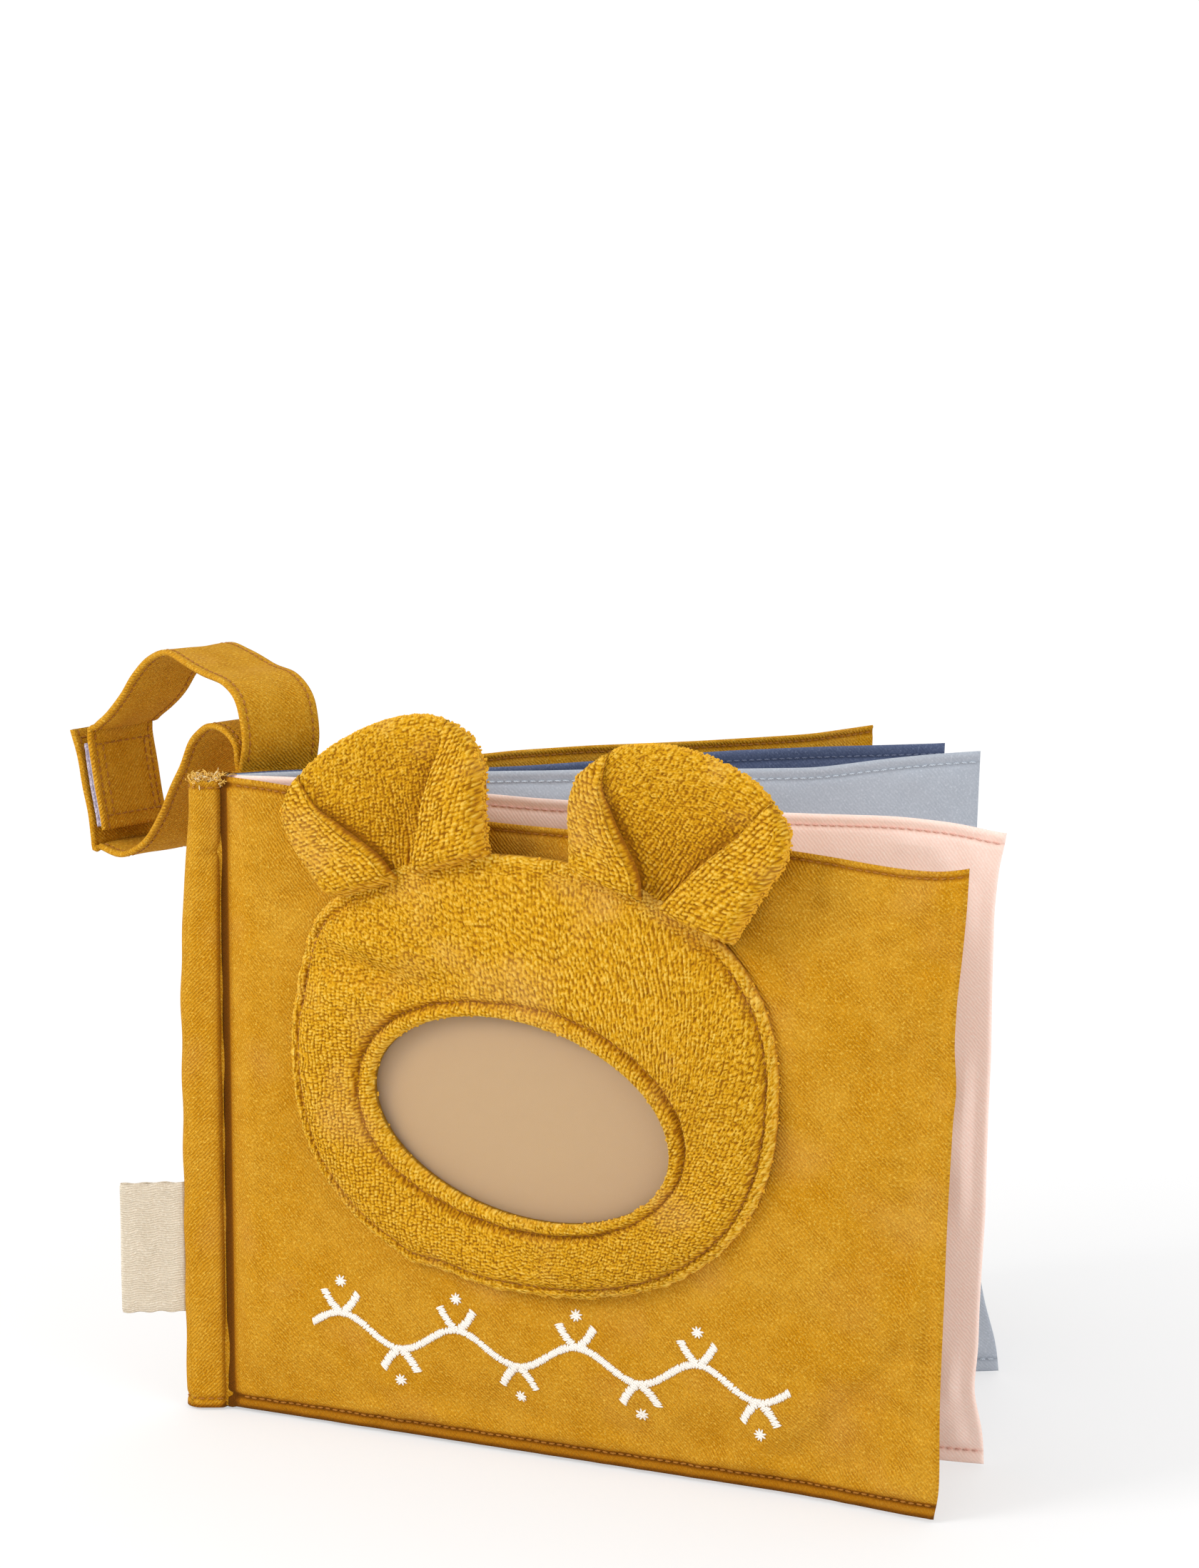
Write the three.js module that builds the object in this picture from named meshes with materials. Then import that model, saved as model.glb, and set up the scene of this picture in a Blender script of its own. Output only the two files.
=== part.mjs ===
// A fabric photo album for a small child: two padded covers and three photo leaves bound in
// one stitched spine, with a bear's head pocket on the front cover and a strap loop at the back.
// Millimetres, +Z up. The origin is the middle of the spine's foot, +X runs to the fore-edges
// along the middle of the fan, and the front cover lies on the -Y side.
import * as THREE from 'three';

// The book as a whole
const bookHeight = 160;
const leafWidth = 194;
const seatGap = 0.3;
const spineWidth = 12.2;
const spineHalfThickness = 4.4;
const spineSeamHalfThickness = 3.3;
const spineClothThickness = 0.8;
const spineRise = 4;
const spineRiseReach = 80;
const marginRise = 1;

// The hinge rolls, where each leaf leaves the bound margin
const coverRollRadius = 1;
const leafRollRadius = 0.6;
const leafHingeLead = 1.6;
const coverHingeX = spineWidth / 2 + seatGap + coverRollRadius;
const leafHingeX = coverHingeX + leafHingeLead;
const leafPitch = 2 * leafRollRadius + seatGap;
const coverPitch = leafPitch + leafRollRadius + seatGap + coverRollRadius;

// How far each leaf stands from the middle of the fan, in degrees
const frontCoverAngle = -25.5;
const pinkLeafAngle = -13.2;
const paleLeafAngle = 9.1;
const navyLeafAngle = 19.7;
const backCoverAngle = 31.4;

// Leaves: cloth, crown and the shape of their edges
const leafCloth = 0.45;
const leafSeatHalfThickness = 0.72;
const leafHalfThickness = 1.6;
const coverCloth = 0.7;
const coverCrown = 4.5;
const coverInnerSeatHalfThickness = 1.1;
const coverInnerCrown = 2.2;
const coverRampLength = 16;
const innerRampLength = 37;
const edgeFall = 20;
const foreDraw = 2.2;
const topDraw = 1.2;
const cornerFlareLength = 40;
const cornerFlares = { front: 3, pink: 3, pale: 4.5, navy: 2, back: 2 };

// Clear photo windows on the leaves and inside the covers
const windowInset = 28;
const windowForeInset = 18;
const windowFootInset = 30;
const windowHeadInset = 30;
const filmThickness = 0.4;
const hemInset = 8;
const hemLine = 4;
const waddingInset = 12;

// The bear's head, measured on the front cover from the hinge line and the foot
const headCentre = new THREE.Vector2(86, 98);
const headHalfWidth = 65.5;
const headHalfHeight = 55;
const headRoundness = 2.3;
const headCrown = 11.6;
const headRimHeight = 10.4;
const headGrooveHeight = 9.4;
const headWindowEdgeHeight = 8.4;
const headHemHeight = 6.3;
const headMouthHeight = 10;
const headSewnWidth = 3;
const headLiningInset = 7;
const headLiningThickness = 0.6;
const headPaneThickness = 0.4;
const headPaneOverlap = 4.5;
const windowCentre = new THREE.Vector2(83, 87.3);
const windowHalfWidth = 40.5;
const windowHalfHeight = 24.3;
const windowTilt = -10;
const cardWidth = 86;
const cardHeight = 66;
const cardThickness = 0.5;
const cardCornerRadius = 8;
const cardFoot = 61;

// The ears, each in the frame of its own seam
const earHalfWidth = 29;
const earSeamHalfWidth = 21;
const earShoulderHalfWidth = 25;
const earHeight = 38;
const earFold = 9;
const earThickness = 4;
const earSeamThickness = 3;
const earLobeThickness = 6.2;
const earSeamGap = 0.5;
const earSeamBow = 2.3;
const leftEarSeam = { start: new THREE.Vector2(38, 140.5), end: new THREE.Vector2(75, 153) };
const rightEarSeam = { start: new THREE.Vector2(100.7, 152.2), end: new THREE.Vector2(141.7, 137.8) };

// The label, a folded tape in the spine
const labelLength = 15;
const labelHeight = 34;
const labelFoot = 24.5;
const labelRollRadius = 0.65;

// The strap loop, in the frame of the back cover
const strapWidth = 22;
const strapThickness = 1.6;
const strapRollRadius = 1;
const strapInset = 2;
const strapReach = 63;
const strapRise = 25;
const strapDrop = 26;
const strapTwist = 14.6;
const strapShift = 11.7;
const strapPatchLength = 24;
const patchThickness = 1;
const patchMargin = 1;
const flapLength = 30;
const flapLean = 1.5;

const degrees = THREE.MathUtils.degToRad;
const { lerp } = THREE.MathUtils;

// 0 to 1 with soft ends
function ease(value) {
  return THREE.MathUtils.smoothstep(value, 0, 1);
}

// The same between the first and the last of two shares
function ramp(value, shares) {
  return THREE.MathUtils.smoothstep(value, shares[0], shares[1]);
}

const palette = {
  ochreCotton: { color: 0xc98a22, roughness: 0.95, metalness: 0 },
  ochreTerry: { color: 0xcf9426, roughness: 1, metalness: 0 },
  pinkCotton: { color: 0xefbeae, roughness: 0.95, metalness: 0 },
  paleBlueCotton: { color: 0xa3b0bf, roughness: 0.95, metalness: 0 },
  navyCotton: { color: 0x4c5772, roughness: 0.95, metalness: 0 },
  wadding: { color: 0xf2efe8, roughness: 1, metalness: 0 },
  liningCotton: { color: 0xeee6da, roughness: 0.95, metalness: 0 },
  clearFilm: { color: 0xf4f4f2, roughness: 0.2, metalness: 0, transparent: true, opacity: 0.35 },
  card: { color: 0xc9a87e, roughness: 0.9, metalness: 0 },
  creamTape: { color: 0xe6ddcd, roughness: 0.95, metalness: 0 },
  hookTape: { color: 0xd9d0dc, roughness: 0.9, metalness: 0 },
};

function piece(name, geometry, finish) {
  const mesh = new THREE.Mesh(geometry, new THREE.MeshStandardMaterial(palette[finish]));
  mesh.name = name;
  return mesh;
}

function solidFrom(points, triangles) {
  const geometry = new THREE.BufferGeometry().setFromPoints(points);
  geometry.setIndex(triangles);
  geometry.computeVertexNormals();
  return geometry;
}

// A closed sheet between a front and a back surface over a grid. Columns run to +X and rows
// to +Z when the front faces -Y. A wrapped grid closes on itself along its columns.
function sheetSolid(columns, rows, frontPoint, backPoint, wrapped = false) {
  const points = [];
  for (const surface of [frontPoint, backPoint]) {
    for (const row of rows) {
      for (const column of columns) {
        points.push(surface(column, row));
      }
    }
  }
  const width = columns.length;
  const layer = width * rows.length;
  const steps = wrapped ? width : width - 1;
  const triangles = [];
  const quad = (a, b, c, d) => triangles.push(a, b, c, a, c, d);
  for (let row = 0; row < rows.length - 1; row += 1) {
    for (let column = 0; column < steps; column += 1) {
      const a = row * width + column;
      const b = row * width + ((column + 1) % width);
      const c = b + width;
      const d = a + width;
      quad(a, b, c, d);
      quad(layer + b, layer + a, layer + d, layer + c);
    }
    if (!wrapped) {
      const left = row * width;
      const right = left + width - 1;
      quad(layer + left, left, left + width, layer + left + width);
      quad(right, layer + right, layer + right + width, right + width);
    }
  }
  const top = (rows.length - 1) * width;
  for (let column = 0; column < steps; column += 1) {
    const next = (column + 1) % width;
    quad(layer + column, layer + next, next, column);
    quad(top + column, top + next, layer + top + next, layer + top + column);
  }
  return solidFrom(points, triangles);
}

function evenLines(from, to, cells) {
  return Array.from({ length: cells + 1 }, (unused, index) => lerp(from, to, index / cells));
}

// The outline of a leaf. A place is given by its distance from the hinge line and its height
// on a flat, undrawn leaf, and comes back where the padding has drawn it.
function drawnPlace(across, up, flare) {
  const acrossShare = Math.max(across, 0) / leafWidth;
  const upShare = up / bookHeight;
  const foreDrawn = foreDraw * Math.sin(Math.PI * upShare) - flare * ease(1 - up / cornerFlareLength) / 2;
  const topDrawn = topDraw * Math.sin(Math.PI * acrossShare);
  const topRaised = spineRise * (1 - ease(across / spineRiseReach));
  return {
    x: across - foreDrawn * acrossShare ** 2,
    z: up + (topRaised - topDrawn) * upShare ** 2,
  };
}

// How much of its crown a padded leaf has kept at a place: none at the hem
function crownShare(across, up) {
  const fore = ease((leafWidth - across) / edgeFall);
  return fore * ease(up / edgeFall) * ease((bookHeight - up) / edgeFall);
}

function rolled(halfThickness, across, rollRadius) {
  return across < 0 ? halfThickness * Math.sqrt(1 - (across / rollRadius) ** 2) : halfThickness;
}

function leafFace(across, up) {
  const seat = lerp(leafRollRadius, leafSeatHalfThickness, ease(across / windowInset));
  const full = lerp(seat, leafHalfThickness, ease((across - windowInset) / innerRampLength));
  const face = lerp(leafRollRadius, full, crownShare(across, up));
  return rolled(face, across, leafRollRadius);
}

function coverInnerFace(across, up) {
  const seat = lerp(coverRollRadius, coverInnerSeatHalfThickness, ease(across / windowInset));
  const full = lerp(seat, coverInnerCrown, ease((across - windowInset) / innerRampLength));
  const face = lerp(coverRollRadius, full, crownShare(across, up));
  return rolled(face, across, coverRollRadius);
}

function coverOuterFace(across, up) {
  const full = lerp(coverRollRadius, coverCrown, ease(across / coverRampLength));
  const face = lerp(coverRollRadius, full, crownShare(across, up));
  return rolled(face, across, coverRollRadius);
}

// How far a leaf's lower fore corner curls out of its plane, towards the front
function curl(across, up, flare) {
  const acrossReach = ease((across - leafWidth + cornerFlareLength) / cornerFlareLength);
  return flare * acrossReach * ease(1 - up / cornerFlareLength);
}

// A point on a leaf, `height` in front of its middle plane (behind it when negative)
function leafPoint(across, up, height, flare) {
  const place = drawnPlace(across, up, flare);
  return new THREE.Vector3(place.x, -height - curl(across, up, flare), place.z);
}

const noseShares = [-0.8, -0.4];
const waddingLine = windowInset + innerRampLength / 2;
const windowAcross = [
  windowInset,
  waddingLine,
  ...evenLines(windowInset + innerRampLength, leafWidth - windowForeInset, 3),
];
const windowUp = evenLines(windowFootInset, bookHeight - windowHeadInset, 3);
const waddingAcross = [...windowAcross.slice(1), leafWidth - hemInset];
const waddingUp = [waddingInset, ...windowUp, bookHeight - waddingInset];

function leafAcross(rollRadius) {
  return [
    ...noseShares.map((share) => share * rollRadius),
    0,
    waddingInset,
    ...windowAcross,
    leafWidth - hemInset,
    leafWidth,
  ];
}

const leafUp = [0, hemLine, ...waddingUp, bookHeight - hemLine, bookHeight];

// The padded outer cloth of a cover needs closer lines where its crown falls to the hem
const coverFallLines = [hemLine, 2 * hemLine, coverRampLength, edgeFall];
const coverAcross = [
  ...noseShares.map((share) => share * coverRollRadius),
  0,
  ...coverFallLines,
  ...windowAcross,
  ...coverFallLines.map((line) => leafWidth - line).reverse().slice(1),
  leafWidth,
];
const coverUp = [
  0,
  ...coverFallLines,
  ...windowUp,
  ...coverFallLines.map((line) => bookHeight - line).reverse(),
  bookHeight,
];

// Cloth whose outer face is `face`: in front of the middle plane, or behind it
function clothSolid(acrossLines, upLines, face, cloth, flare, inFront) {
  const side = inFront ? 1 : -1;
  const outer = (across, up) => leafPoint(across, up, side * face(across, up), flare);
  const inner = (across, up) => {
    const height = Math.max(face(Math.max(across, 0), up) - cloth, seatGap / 2);
    return leafPoint(across, up, side * height, flare);
  };
  return inFront
    ? sheetSolid(acrossLines, upLines, outer, inner)
    : sheetSolid(acrossLines, upLines, inner, outer);
}

// Wadding fills the cloth from inside, a clearance away from both faces
function waddingSolid(frontFace, frontCloth, rearFace, rearCloth, flare) {
  const front = (across, up) =>
    leafPoint(across, up, frontFace(across, up) - frontCloth - seatGap, flare);
  const rear = (across, up) =>
    leafPoint(across, up, -(rearFace(across, up) - rearCloth - seatGap), flare);
  return sheetSolid(waddingAcross, waddingUp, front, rear);
}

// Clear film over a face, a clearance in front of the cloth
function filmSolid(face, flare, inFront) {
  const side = inFront ? 1 : -1;
  const near = (across, up) => leafPoint(across, up, side * (face(across, up) + seatGap), flare);
  const far = (across, up) =>
    leafPoint(across, up, side * (face(across, up) + seatGap + filmThickness), flare);
  return inFront
    ? sheetSolid(windowAcross, windowUp, far, near)
    : sheetSolid(windowAcross, windowUp, near, far);
}

function hinged(angle, hingeX, offset) {
  const group = new THREE.Group();
  group.position.set(hingeX, offset, 0);
  group.rotation.z = degrees(angle);
  return group;
}

// Three photo leaves, each with a clear window on both sides
function photoLeaf(name, finish, angle, offset, flare) {
  const leaf = hinged(angle, leafHingeX, offset);
  const across = leafAcross(leafRollRadius);
  leaf.add(
    piece(`${name}_leaf_front_cloth`, clothSolid(across, leafUp, leafFace, leafCloth, flare, true), finish),
    piece(`${name}_leaf_back_cloth`, clothSolid(across, leafUp, leafFace, leafCloth, flare, false), finish),
    piece(`${name}_leaf_wadding`, waddingSolid(leafFace, leafCloth, leafFace, leafCloth, flare), 'wadding'),
    piece(`${name}_leaf_front_window`, filmSolid(leafFace, flare, true), 'clearFilm'),
    piece(`${name}_leaf_back_window`, filmSolid(leafFace, flare, false), 'clearFilm'),
  );
  return leaf;
}

// A cover, padded outside, with a window on its inner face
function paddedCover(name, angle, offset, flare, outerInFront) {
  const cover = hinged(angle, coverHingeX, offset);
  const liningAcross = leafAcross(coverRollRadius);
  const front = outerInFront ? coverOuterFace : coverInnerFace;
  const rear = outerInFront ? coverInnerFace : coverOuterFace;
  cover.add(
    piece(
      `${name}_cover_outer_cloth`,
      clothSolid(coverAcross, coverUp, coverOuterFace, coverCloth, flare, outerInFront),
      'ochreCotton',
    ),
    piece(`${name}_cover_wadding`, waddingSolid(front, coverCloth, rear, coverCloth, flare), 'wadding'),
    piece(
      `${name}_cover_lining`,
      clothSolid(liningAcross, leafUp, coverInnerFace, coverCloth, flare, !outerInFront),
      'ochreCotton',
    ),
    piece(`${name}_cover_inner_window`, filmSolid(coverInnerFace, flare, !outerInFront), 'clearFilm'),
  );
  return cover;
}

// The head's layers, counted outwards from the cover's crown
const cardHeightOff = coverCrown + seatGap;
const headLiningOff = cardHeightOff + cardThickness + seatGap;
const headPaneOff = headLiningOff + headLiningThickness + seatGap;
const headBackOff = headPaneOff + headPaneThickness + seatGap;

function roundedOutline(angle, inset) {
  const cosine = Math.cos(angle);
  const sine = Math.sin(angle);
  const power = 2 / headRoundness;
  return new THREE.Vector2(
    headCentre.x + (headHalfWidth - inset) * Math.sign(cosine) * Math.abs(cosine) ** power,
    headCentre.y + (headHalfHeight - inset) * Math.sign(sine) * Math.abs(sine) ** power,
  );
}

function windowOutline(angle, overlap) {
  const tilt = degrees(windowTilt);
  const point = new THREE.Vector2(
    (windowHalfWidth + overlap) * Math.cos(angle),
    (windowHalfHeight + overlap) * Math.sin(angle),
  );
  return point.rotateAround(new THREE.Vector2(), tilt).add(windowCentre);
}

const ringTurns = evenLines(0, 2 * Math.PI, 40).slice(0, -1);

// Share of the way from the head's open top edge to its sewn sides and foot
const mouthShares = [0.55, 0.9];

function sewnShare(angle) {
  return 1 - ramp(Math.sin(angle), mouthShares);
}

// The head's front, from the window's edge (0) to the outline (1)
const headProfileShares = [0, 0.09, 0.2, 0.32, 0.55, 0.78, 0.92, 1];
const headInnerRiseShares = [0, 0.6, 1];
const headOuterFallShares = [0.75, 0.4, 0];
const headOpenShares = [0.5, 1];
const headProfileHeights = [
  headWindowEdgeHeight,
  headRimHeight,
  ...headInnerRiseShares.map((share) => lerp(headGrooveHeight, headCrown, share)),
  ...headOuterFallShares.map((share) => lerp(headHemHeight, headCrown, share)),
];

function headPoint(angle, share, height) {
  const place = windowOutline(angle, 0).lerp(roundedOutline(angle, 0), share);
  return new THREE.Vector3(place.x, -height, place.y);
}

function bearHead() {
  const front = (angle, index) => {
    const open = (1 - sewnShare(angle)) * ramp(headProfileShares[index], headOpenShares);
    const height = lerp(headProfileHeights[index], headMouthHeight, open);
    return headPoint(angle, headProfileShares[index], height);
  };
  const sewnSeat = coverCrown + seatGap;
  const back = (angle, index) => {
    const outline = roundedOutline(angle, 0);
    const place = windowOutline(angle, 0).lerp(outline, headProfileShares[index]);
    const sewn = ease(1 - (place.distanceTo(outline) - headSewnWidth / 2) / headSewnWidth);
    const height = lerp(headBackOff, sewnSeat, sewn * sewnShare(angle));
    return headPoint(angle, headProfileShares[index], height);
  };
  const rings = headProfileShares.map((unused, index) => index);
  // The angles run against the columns' direction, so that the front still faces -Y
  return sheetSolid([...ringTurns].reverse(), rings, front, back, true);
}

function headLining() {
  const edgeShares = [0, 0.5, 1];
  const place = (angle, share, height) => {
    const spot = windowOutline(angle, seatGap).lerp(roundedOutline(angle, headLiningInset), share);
    return new THREE.Vector3(spot.x, -height, spot.y);
  };
  return sheetSolid(
    [...ringTurns].reverse(),
    edgeShares,
    (angle, share) => place(angle, share, headLiningOff + headLiningThickness),
    (angle, share) => place(angle, share, headLiningOff),
    true,
  );
}

// An upright outline pushed from `low` to `high` in front of the cover's middle plane
function frontSlab(shape, low, high) {
  const curveSegments = 6;
  const settings = { depth: high - low, bevelEnabled: false, curveSegments };
  return new THREE.ExtrudeGeometry(shape, settings).rotateX(Math.PI / 2).translate(0, -low, 0);
}

function headPane() {
  const outline = ringTurns.filter((unused, index) => index % 2 === 0);
  const shape = new THREE.Shape(outline.map((angle) => windowOutline(angle, headPaneOverlap)));
  return frontSlab(shape, headPaneOff, headPaneOff + headPaneThickness);
}

function photoCard() {
  const left = windowCentre.x - cardWidth / 2;
  const right = windowCentre.x + cardWidth / 2;
  const top = cardFoot + cardHeight;
  const radius = cardCornerRadius;
  const shape = new THREE.Shape();
  shape.absarc(right - radius, cardFoot + radius, radius, -Math.PI / 2, 0);
  shape.absarc(right - radius, top - radius, radius, 0, Math.PI / 2);
  shape.absarc(left + radius, top - radius, radius, Math.PI / 2, Math.PI);
  shape.absarc(left + radius, cardFoot + radius, radius, Math.PI, 3 * Math.PI / 2);
  return frontSlab(shape, cardHeightOff, cardHeightOff + cardThickness);
}

// An ear: a flap of two layers whose side rims fold forward over a cupped middle. Places on
// it are shares of its half width, and of its height.
const earDomeShare = 0.38;
const earDomePower = 2.4;
const earBodyShares = [0, 0.3];
const earWidestShare = 0.5;
const earLobeShares = [0.28, 0.7];
const earLobeFootShares = [0, 0.4];
const earLobeTopShares = [0.55, 1];
const earLobeLossShare = 0.75;
const earRimShares = [0.8, 1];
const earRimFootShares = [0, 0.2];

function earSolid(seamLength) {
  const seamHalf = Math.min(earSeamHalfWidth, seamLength / 2);
  const place = (across, up) => {
    const spread = up < earWidestShare
      ? lerp(seamHalf, earHalfWidth, ramp(up, [0, earWidestShare]))
      : lerp(earHalfWidth, earShoulderHalfWidth, ramp(up, [earWidestShare, 1]));
    const foot = earSeamGap + earSeamBow * (1 - across ** 2);
    const top = earHeight * (1 - earDomeShare * Math.abs(across) ** earDomePower);
    return { x: spread * across, z: lerp(foot, top, up) };
  };
  const lobe = (across, up) => ramp(Math.abs(across), earLobeShares) * ramp(up, earLobeFootShares);
  const rim = (across, up) => {
    const edge = Math.max(ramp(Math.abs(across), earRimShares), ramp(up, earRimShares));
    return edge * ramp(up, earRimFootShares);
  };
  const frontHeight = (across, up) => {
    const kept = 1 - earLobeLossShare * ramp(up, earLobeTopShares);
    return earFold * lobe(across, up) * kept - earSeamThickness * rim(across, up);
  };
  const backHeight = (across, up) => {
    const body = lerp(earSeamThickness, earThickness, ramp(up, earBodyShares));
    const full = lerp(body, earLobeThickness, lobe(across, up));
    const thickness = lerp(full, earSeamThickness, rim(across, up));
    return Math.max(frontHeight(across, up) - thickness, -earThickness);
  };
  const at = (height) => (across, up) => {
    const spot = place(across, up);
    return new THREE.Vector3(spot.x, -height(across, up), spot.z);
  };
  return sheetSolid(evenLines(-1, 1, 12), evenLines(0, 1, 8), at(frontHeight), at(backHeight));
}

function ear(name, seam) {
  const along = seam.end.clone().sub(seam.start);
  const middle = seam.start.clone().lerp(seam.end, 0.5);
  const mounted = new THREE.Group();
  mounted.name = `${name}_hinge`;
  mounted.position.set(middle.x, -headMouthHeight, middle.y);
  mounted.rotation.y = -along.angle();
  mounted.add(piece(name, earSolid(along.length()), 'ochreTerry'));
  return mounted;
}

// The spine: the covers' cloth wrapped round the bound margins of all five leaves
const spineFlankShares = [0, 0.35, 0.7];

function spineOutline(inset) {
  const half = spineWidth / 2;
  const seamHalf = spineSeamHalfThickness - inset;
  const bodyHalf = spineHalfThickness - inset;
  const bodyX = -half + spineHalfThickness;
  const points = [];
  for (const share of spineFlankShares) {
    const swell = Math.cos(share * Math.PI / 2);
    points.push(new THREE.Vector2(lerp(half, bodyX, share), -lerp(bodyHalf, seamHalf, swell)));
  }
  for (const turn of evenLines(-Math.PI / 2, -3 * Math.PI / 2, 8)) {
    points.push(new THREE.Vector2(bodyX + bodyHalf * Math.cos(turn), bodyHalf * Math.sin(turn)));
  }
  const flank = points.slice(0, spineFlankShares.length);
  const rear = flank.map((point) => new THREE.Vector2(point.x, -point.y)).reverse();
  return [...points, ...rear];
}

function upright(outline, foot, top) {
  const settings = { depth: top - foot, bevelEnabled: false, steps: 1 };
  return new THREE.ExtrudeGeometry(new THREE.Shape(outline), settings).translate(0, 0, foot);
}

function spineBinding() {
  const outer = spineOutline(0);
  const inner = spineOutline(spineClothThickness).reverse();
  return upright([...outer, ...inner], 0, bookHeight + spineRise - marginRise);
}

// The margins reach on between the covers' rolls, to where the leaves are free
function boundMargins() {
  const outline = spineOutline(spineClothThickness + seatGap);
  const tongueHalf = coverPitch - coverRollRadius - seatGap;
  const tongueX = leafHingeX - leafRollRadius - seatGap;
  const tongue = [
    new THREE.Vector2(spineWidth / 2, tongueHalf),
    new THREE.Vector2(tongueX, tongueHalf),
    new THREE.Vector2(tongueX, -tongueHalf),
    new THREE.Vector2(spineWidth / 2, -tongueHalf),
  ];
  return upright([...outline, ...tongue], 0, bookHeight + spineRise);
}

function labelTab() {
  const rollX = -spineWidth / 2 - seatGap - labelRollRadius;
  const foldX = rollX - labelLength;
  const roundEnd = (middle, from) => evenLines(from, from - Math.PI, 6).map((turn) => {
    const spot = new THREE.Vector2(Math.cos(turn), Math.sin(turn));
    return spot.multiplyScalar(labelRollRadius).add(new THREE.Vector2(middle, 0));
  });
  const outline = [...roundEnd(rollX, Math.PI / 2), ...roundEnd(foldX, -Math.PI / 2)];
  return upright(outline, labelFoot, labelFoot + labelHeight);
}

// The strap. A path lies in the plane of the loop: out behind the back cover, and up.
// The tape's near edge drifts and its width turns as it leaves the cover.
const strapDriftPower = 1.6;

function strapFrame(out) {
  const share = Math.max(out, 0) / strapReach;
  const turn = degrees(strapTwist) * Math.min(share, 1);
  return {
    near: new THREE.Vector3(strapInset - strapShift * share ** strapDriftPower, out, 0),
    width: new THREE.Vector3(Math.cos(turn), Math.sin(turn), 0),
  };
}

function tapeSolid(path, halfThicknesses, inset) {
  const front = [];
  const rear = [];
  path.forEach((spot, index) => {
    const before = path[Math.max(index - 1, 0)];
    const after = path[Math.min(index + 1, path.length - 1)];
    const tangent = after.clone().sub(before).normalize();
    const frame = strapFrame(spot.x);
    const across = new THREE.Vector3(-frame.width.y, frame.width.x, 0);
    const turned = across.multiplyScalar(tangent.y).setZ(-tangent.x);
    const base = frame.near.setZ(spot.y);
    const near = base.clone().addScaledVector(frame.width, inset);
    const far = base.clone().addScaledVector(frame.width, strapWidth - inset);
    const half = halfThicknesses[index];
    front.push([near, far].map((edge) => edge.clone().addScaledVector(turned, -half)));
    rear.push([near, far].map((edge) => edge.clone().addScaledVector(turned, half)));
  });
  const rows = path.map((unused, index) => index);
  return sheetSolid([0, 1], rows, (side, row) => front[row][side], (side, row) => rear[row][side]);
}

// How full the rolled root of the strap and the fold of its end flap are
const strapRollShares = [-0.8, -0.4, 0];
const strapRollFullShares = [0.6, 0.92, 1];

const strapAxisZ = bookHeight + spineRise + seatGap + strapRollRadius;
const strapHalf = strapThickness / 2;

function strapPoint(outShare, upShare) {
  const reach = upShare < 0 ? strapDrop : strapRise;
  return new THREE.Vector2(outShare * strapReach, strapAxisZ + upShare * reach);
}

// The upper arm rises from the cover, arches over and comes down to the sewn patch
const upperArmShares = [
  [-0.03, 0.22], [-0.015, 0.45], [0.03, 0.66], [0.13, 0.8], [0.27, 0.84], [0.42, 0.93], [0.53, 0.97],
  [0.64, 0.87], [0.73, 0.66], [0.8, 0.44], [0.89, 0.22], [0.965, 0.06], [1, -0.08],
];
const patchFootShares = [0.925, -0.98];

// The lower arm leaves the same root, crests and sags to the bend under the patch
const lowerArmShares = [
  [0.035, 0.03], [0.04, 0.16], [0.09, 0.27], [0.17, 0.33], [0.25, 0.31], [0.32, 0.2], [0.38, 0.06],
  [0.44, -0.2], [0.51, -0.46], [0.58, -0.72], [0.66, -0.98], [0.75, -1.13], [0.84, -1.19],
];
const bendUpShare = -1.14;

function upperArmPath() {
  const roll = strapRollShares.map(
    (share) => new THREE.Vector2(0, strapAxisZ + share * strapRollRadius),
  );
  const arch = upperArmShares.map(([out, up]) => strapPoint(out, up));
  return [...roll, ...arch, strapPoint(...patchFootShares)];
}

function upperArm() {
  const path = upperArmPath();
  const rollHalves = strapRollFullShares.map((share) => share * strapRollRadius);
  const halves = path.map((unused, index) => rollHalves[index] ?? strapHalf);
  return tapeSolid(path, halves, 0);
}

// The straight run behind the arm's sewn end, `off` outwards from the arm's middle
function patchRun(off) {
  const top = strapPoint(...upperArmShares.at(-1));
  const foot = strapPoint(...patchFootShares);
  const along = foot.clone().sub(top).normalize();
  const outwards = new THREE.Vector2(-along.y, along.x);
  return { foot: foot.addScaledVector(outwards, off), along };
}

function patchSolid(off) {
  const run = patchRun(off);
  const start = run.foot.clone().addScaledVector(run.along, -strapPatchLength + patchMargin);
  const end = run.foot.clone().addScaledVector(run.along, -patchMargin);
  return tapeSolid([start, end], [patchThickness / 2, patchThickness / 2], patchMargin);
}

const hookPatchOff = strapHalf + seatGap + patchThickness / 2;
const loopPatchOff = hookPatchOff + patchThickness + seatGap;
const flapOff = loopPatchOff + patchThickness / 2 + seatGap + strapHalf;

// The bend under the patch, where the lower arm turns up into the end flap
function bendPoint() {
  const run = patchRun(flapOff);
  const level = strapPoint(0, bendUpShare).y;
  return run.foot.addScaledVector(run.along, (level - run.foot.y) / run.along.y);
}

function lowerArm() {
  const path = lowerArmShares.map(([out, up]) => strapPoint(out, up));
  const end = bendPoint().sub(new THREE.Vector2(strapHalf + seatGap, 0));
  path.push(end);
  return tapeSolid(path, path.map(() => strapHalf), 0);
}

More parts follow.
